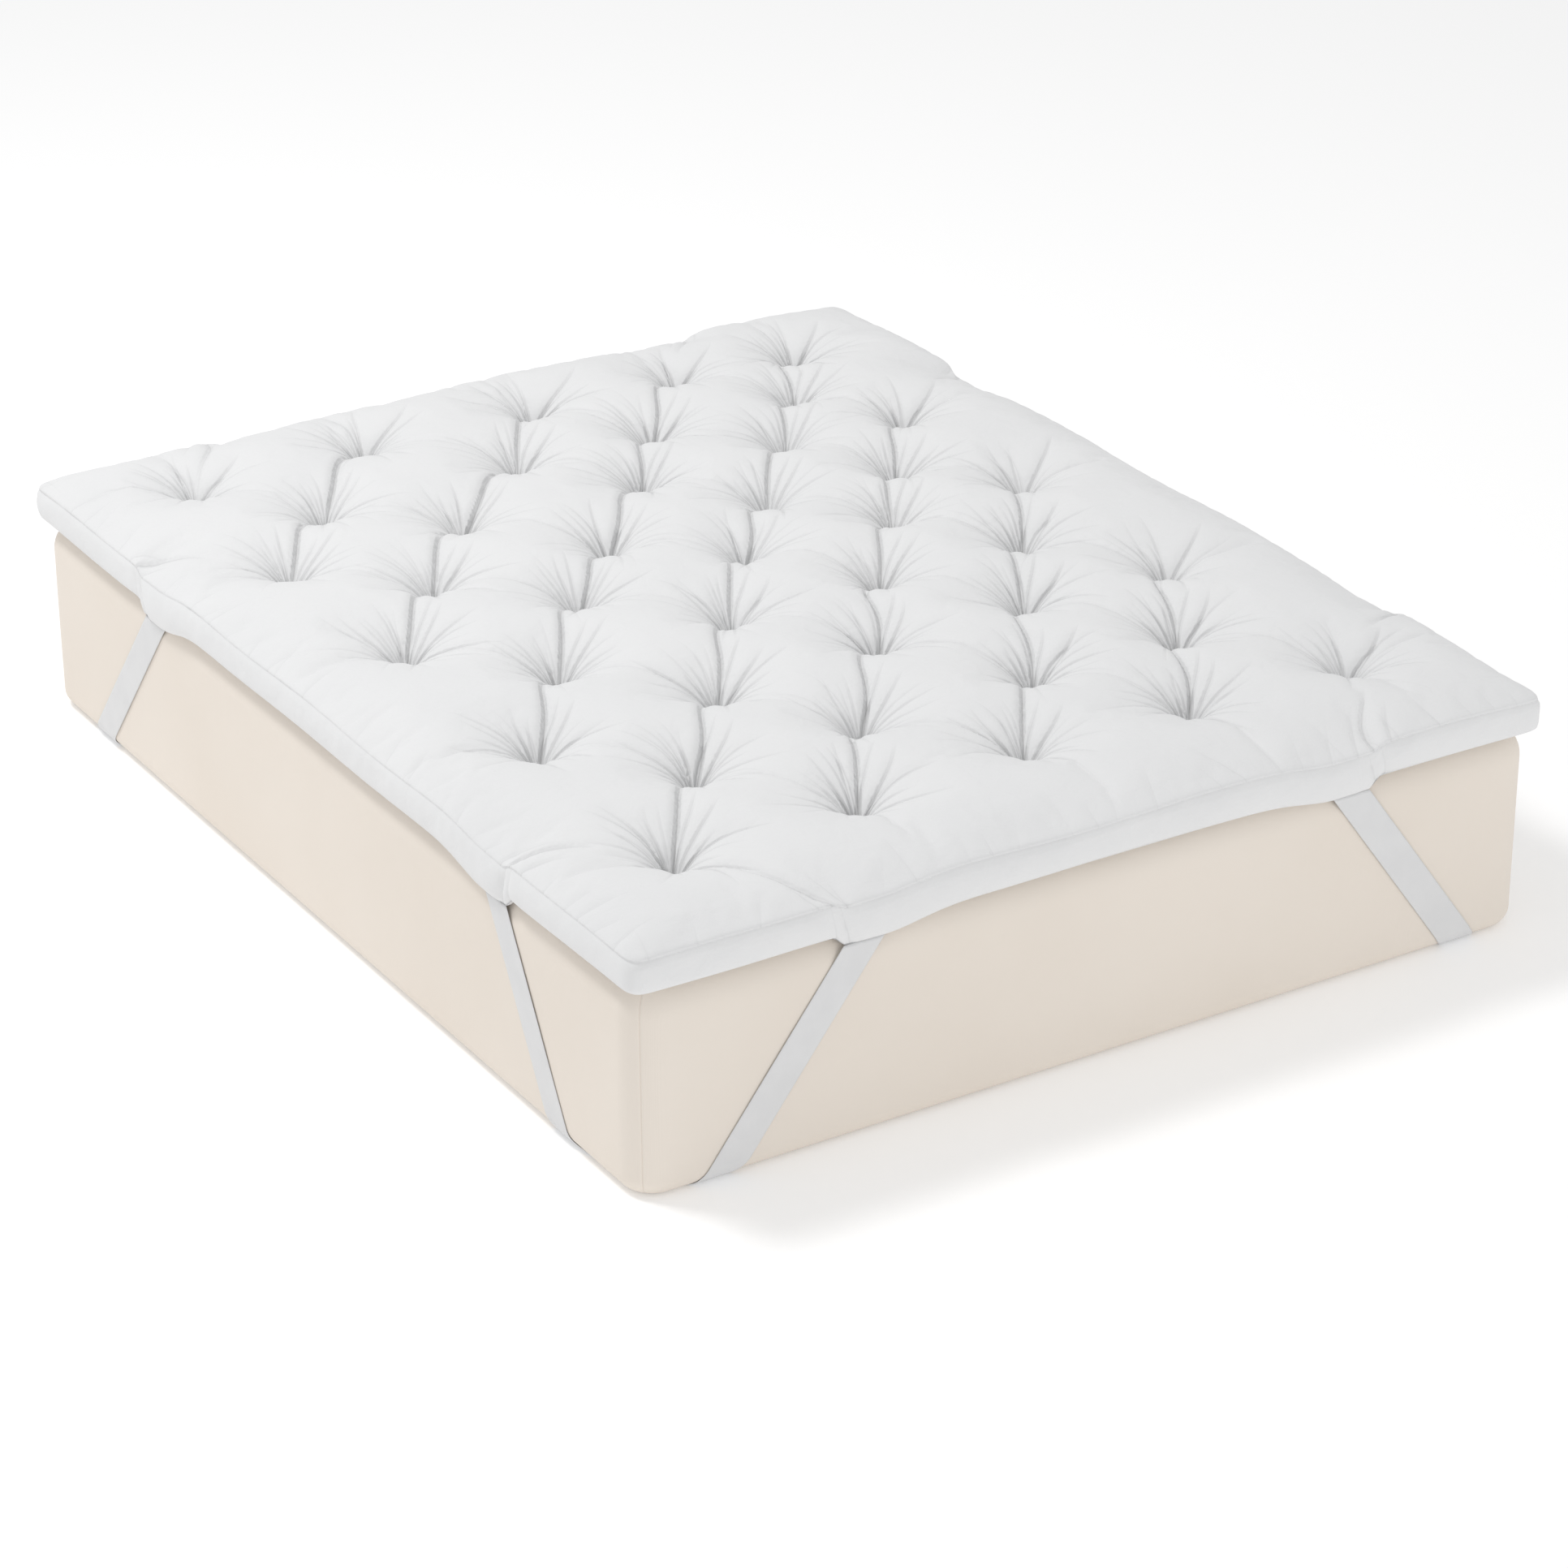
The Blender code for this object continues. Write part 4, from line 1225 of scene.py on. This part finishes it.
@dataclass
class CornerStrap:
    """One elastic strap: ribbed lengthwise, down one face, under the corner and up the next."""

    plan: StrapPlan
    run: StrapRun
    pitch: float = 0.006
    ribs: int = 11
    rib_height: float = 0.00018

    def build(self, finish: bpy.types.Material, rests_on: bpy.types.Object) -> bpy.types.Object:
        """Args:
            finish: The elastic's material.
            rests_on: The mattress piece that it is stretched over; not used.

        Returns:
            The strap's object.
        """
        lines = self.run.lines(self.plan, self.run.width / 2, self.pitch)
        across = 2 * self.ribs + 1
        points, faces = [], []
        for face, run, inner, outer in lines:
            row = []
            for side in (1, -1):
                for step in range(across):
                    share = step / (across - 1) if side > 0 else 1 - step / (across - 1)
                    edge = min(share, 1 - share)
                    rounding = math.sqrt(min(edge / 0.02, 1.0)) if edge < 0.02 else 1.0
                    groove = self.rib_height * (step % 2 == 0 and 0 < step < across - 1)
                    lift = side * (self.run.thickness / 2 * max(rounding, 0.25) - groove)
                    depth, height = self.run.wrap(run, lift)
                    place = self.run.corner_place(self.plan, face, inner + (outer - inner) * share, depth, height)
                    row.append(place)
            points += row
            depth, height = self.run.wrap(run, 0.0)
            self.run.corner_place(self.plan, face, (inner + outer) / 2, depth, height)
        size = 2 * across
        for line in range(len(lines) - 1):
            for step in range(size):
                after = (step + 1) % size
                low, high = line * size, (line + 1) * size
                faces.append((low + step, low + after, high + after, high + step))
        for line in (0, len(lines) - 1):
            base = line * size
            for step in range(across - 1):
                opposite = size - 1 - step
                faces.append((base + step, base + step + 1, base + opposite - 1, base + opposite))
        strap = make_object(f"{self.plan.node}_elastic", np.array(points), faces, finish)
        shell = bmesh.new()
        shell.from_mesh(strap.data)
        bmesh.ops.recalc_face_normals(shell, faces=shell.faces[:])
        shell.to_mesh(strap.data)
        shell.free()
        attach(strap, ROOT_BODY)
        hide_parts(self.plan.node)
        return strap


@dataclass
class MattressCover:
    """The plain mattress in its cover: soft edges, a seam down each corner and grooves under the straps."""

    sizes: MattressSizes
    run: StrapRun
    column_pitch: float = 0.012
    wall_pitch: float = 0.012
    arc_steps: int = 16
    seam_width: float = 0.0016
    seam_depth: float = 0.0012
    unevenness: float = 0.0012
    groove_depth: float = 0.0032
    groove_margin: float = 0.003

    def outline(self) -> tuple[np.ndarray, np.ndarray, np.ndarray]:
        """Return the outline's points, their outward directions and their distances from a corner seam."""
        half_x, half_y = self.sizes.width / 2, self.sizes.length / 2
        radius = self.sizes.corner_radius
        quarter = math.pi / 2
        near_seam = self.seam_width / 2 / radius
        turns = np.linspace(0.0, quarter, self.arc_steps + 1)
        turns = np.delete(turns, self.arc_steps // 2)
        extra = quarter / 2 + near_seam * np.array([-2.5, -1.0, 0.0, 1.0, 2.5])
        turns = np.sort(np.concatenate([turns, extra]))
        points, normals, seams = [], [], []
        centres = ((1, -1, -quarter), (1, 1, 0.0), (-1, 1, quarter), (-1, -1, 2 * quarter))
        for index, (sign_x, sign_y, start) in enumerate(centres):
            centre = np.array([sign_x * (half_x - radius), sign_y * (half_y - radius)])
            angles = start + turns
            ways = np.column_stack([np.cos(angles), np.sin(angles)])
            points.append(centre + radius * ways)
            normals.append(ways)
            seams.append(np.abs(turns - quarter / 2) * radius)
            after = centres[(index + 1) % 4]
            following = np.array([after[0] * (half_x - radius), after[1] * (half_y - radius)]) + radius * ways[-1]
            length = np.linalg.norm(following - points[-1][-1])
            steps = round(length / self.column_pitch)
            shares = np.arange(1, steps)[:, None] / steps
            points.append(points[-1][-1] + (following - points[-1][-1]) * shares)
            normals.append(np.repeat(ways[-1:], steps - 1, axis=0))
            seams.append(np.full(steps - 1, 1.0))
        return np.concatenate(points), np.concatenate(normals), np.concatenate(seams)

    def profile(self) -> list[tuple[float, float]]:
        """Return the side's profile from the foot up, as pairs of inset and height."""
        foot, top, height = self.sizes.foot_radius, self.sizes.top_radius, self.sizes.height
        rings = []
        for step in range(9):
            turn = math.pi / 2 * step / 8
            rings.append((foot - foot * math.sin(turn), foot - foot * math.cos(turn)))
        wall = height - top - foot
        steps = round(wall / self.wall_pitch)
        rings += [(0.0, foot + wall * step / steps) for step in range(1, steps)]
        for step in range(11):
            turn = math.pi / 2 * step / 10
            rings.append((top - top * math.cos(turn), height - top + top * math.sin(turn)))
        return rings

    def dents(self, points: np.ndarray, height: float) -> np.ndarray:
        """Return how far the cloth lies inside the full outline at each point."""
        x, y = points[:, 0], points[:, 1]
        soft = np.sin(5.1 * x + 3.7 * y + 9 * height) + np.sin(8.3 * x - 6.9 * y - 14 * height + 1.0)
        soft += 0.6 * np.sin(17 * x + 13 * y + 21 * height + 2.0)
        return self.unevenness * (0.5 + soft / 5.2)

    def groove_cutter(self, plan: StrapPlan) -> bpy.types.Object:
        """Return a shallow slab under one corner, a little wider than its strap."""
        flat_run = self.sizes.foot_radius * self.run.flat_angle()
        flat_depth = self.run.wrap(flat_run, 0.0)[0]
        lines = [
            line
            for line in self.run.lines(plan, self.run.width / 2 + self.groove_margin, 0.03)
            if line[1] >= self.run.turn_start / 2
        ]
        shell = bmesh.new()
        levels = []
        for level in (-0.01, self.groove_depth):
            pairs = []
            for face, run, inner, outer in lines:
                depth = flat_depth + run - flat_run
                pairs.append(
                    [shell.verts.new(self.run.corner_place(plan, face, edge, depth, level)) for edge in (inner, outer)]
                )
            levels.append(pairs)
        low, high = levels
        for step in range(len(lines) - 1):
            for row in (low, high):
                shell.faces.new([row[step][0], row[step][1], row[step + 1][1], row[step + 1][0]])
            for side in (0, 1):
                shell.faces.new([low[step][side], low[step + 1][side], high[step + 1][side], high[step][side]])
        for step in (0, len(lines) - 1):
            shell.faces.new([low[step][0], low[step][1], high[step][1], high[step][0]])
        bmesh.ops.recalc_face_normals(shell, faces=shell.faces[:])
        mesh = bpy.data.meshes.new("groove")
        shell.to_mesh(mesh)
        shell.free()
        cutter = bpy.data.objects.new("groove", mesh)
        bpy.context.scene.collection.objects.link(cutter)
        return cutter

    def build(self) -> bpy.types.Object:
        """Build the mattress as one closed piece and dress it."""
        plan, ways, seams = self.outline()
        stitched = self.seam_depth * np.exp(-((seams / (self.seam_width / 2)) ** 2))
        rings, points, faces = [], [], []
        count = len(plan)
        for inset, height in self.profile():
            calm = min(height / 0.04, 1.0) * min((self.sizes.height - height) / 0.02, 1.0)
            shrink = inset + self.dents(plan, height) * max(calm, 0.0) + stitched * (inset < 0.02)
            ring = np.column_stack([plan - ways * shrink[:, None], np.full(count, height)])
            rings.append(np.arange(len(points) * count, (len(points) + 1) * count))
            points.append(ring)
        for lower, upper in zip(rings, rings[1:]):
            faces += join_rings(upper, lower)
        faces.append(tuple(rings[0][::-1].tolist()))
        faces.append(tuple(rings[-1].tolist()))
        cover = make_object("mattress_cover_cloth", np.concatenate(points), faces, COVER.material())
        cutters = []
        for strap in STRAP_PLANS:
            cutters.append(self.groove_cutter(strap))
            groove = cover.modifiers.new("groove", "BOOLEAN")
            groove.operation, groove.solver, groove.object = "DIFFERENCE", "EXACT", cutters[-1]
        evaluated = cover.evaluated_get(bpy.context.evaluated_depsgraph_get())
        cut = bpy.data.meshes.new_from_object(evaluated)
        cover.modifiers.clear()
        cover.data = cut
        cut.shade_smooth()
        cut.set_sharp_from_angle(angle=math.radians(50))
        for cutter in cutters:
            bpy.data.objects.remove(cutter, do_unlink=True)
        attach(cover, ROOT_BODY)
        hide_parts("mattress")
        return cover


@dataclass
class Studio:
    """A pale lit floor, a soft even sky, one large lamp to the left and a weak one in front."""

    floor_half: float = 40.0
    floor_colour: Colour = (0.95, 0.95, 0.95)
    floor_glow: float = 0.15
    sky: float = 0.70
    lamps: tuple[tuple[str, tuple[float, float, float], float, float], ...] = (
        ("large lamp", (-2.2, 1.4, 5.2), 1.2, 108.0),
        ("front lamp", (1.5, -6.5, 1.2), 2.0, 34.0),
    )

    def build(self) -> None:
        """Lay the floor and set the light."""
        half = self.floor_half
        corners = np.array([(-half, -half, 0), (half, -half, 0), (half, half, 0), (-half, half, 0)], float)
        material = bpy.data.materials.new("pale floor")
        material.use_nodes = True
        shader = material.node_tree.nodes["Principled BSDF"]
        shader.inputs["Base Color"].default_value = (*self.floor_colour, 1.0)
        shader.inputs["Roughness"].default_value = 0.95
        shader.inputs["Specular IOR Level"].default_value = 0.0
        shader.inputs["Emission Color"].default_value = (1.0, 1.0, 1.0, 1.0)
        shader.inputs["Emission Strength"].default_value = self.floor_glow
        floor = make_object("floor", corners, [(0, 1, 2, 3)], material)
        world = bpy.data.worlds.new("soft sky")
        world.use_nodes = True
        sky = world.node_tree.nodes["Background"]
        sky.inputs["Color"].default_value = (1.0, 1.0, 1.0, 1.0)
        sky.inputs["Strength"].default_value = self.sky
        bpy.context.scene.world = world
        for name, place, size, power in self.lamps:
            lamp = bpy.data.lights.new(name, "AREA")
            lamp.size, lamp.energy = size, power
            holder = bpy.data.objects.new(name, lamp)
            holder.location = place
            way = Vector((0.0, 0.0, 0.3)) - Vector(place)
            holder.rotation_euler = way.to_track_quat("-Z", "Y").to_euler()
            bpy.context.scene.collection.objects.link(holder)
        bpy.context.scene.view_settings.view_transform = "Standard"


@dataclass
class PhotoCamera:
    """The camera, where the photograph was taken from."""

    place: tuple[float, float, float] = (-3.6085, -5.9397, 3.4667)
    azimuth: float = 31.708
    elevation: float = 26.261
    roll: float = -0.246
    lens: float = 108.3
    sensor: float = 36.0

    def build(self) -> None:
        """Set the camera up and make it the scene's own."""
        azimuth, elevation, roll = map(math.radians, (self.azimuth, self.elevation, self.roll))
        forward = Vector(
            (math.sin(azimuth) * math.cos(elevation), math.cos(azimuth) * math.cos(elevation), -math.sin(elevation))
        )
        level_right = forward.cross(Vector((0.0, 0.0, 1.0))).normalized()
        level_up = level_right.cross(forward)
        right = math.cos(roll) * level_right + math.sin(roll) * level_up
        up = -math.sin(roll) * level_right + math.cos(roll) * level_up
        camera = bpy.data.cameras.new("photo camera")
        camera.lens, camera.sensor_width = self.lens, self.sensor
        holder = bpy.data.objects.new("photo camera", camera)
        bpy.context.scene.collection.objects.link(holder)
        turn = Matrix((right, up, -forward)).transposed().to_4x4()
        turn.translation = self.place
        holder.matrix_world = turn
        bpy.context.scene.camera = holder


def main() -> None:
    """Build the floor, the camera, the mattress, the topper and the straps."""
    logging.basicConfig(level=logging.INFO, format="%(message)s")
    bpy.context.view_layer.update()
    Studio().build()
    PhotoCamera().build()
    mattress = MattressSizes()
    outline = Outline()
    heights = EdgeHeights(mattress, outline)
    run = StrapRun(mattress, heights)
    pieces = []
    cover = MattressCover(mattress, run).build()
    pieces.append(cover)
    pieces.append(Topper(outline, heights, Tufting(outline), mattress).build())
    elastic = ELASTIC.material()
    for plan in STRAP_PLANS:
        pieces.append(CornerStrap(plan, run).build(elastic, cover))
    for piece in pieces:
        LOG.info("built %s with %d faces", piece.name, len(piece.data.polygons))


if __name__ == "__main__":
    main()
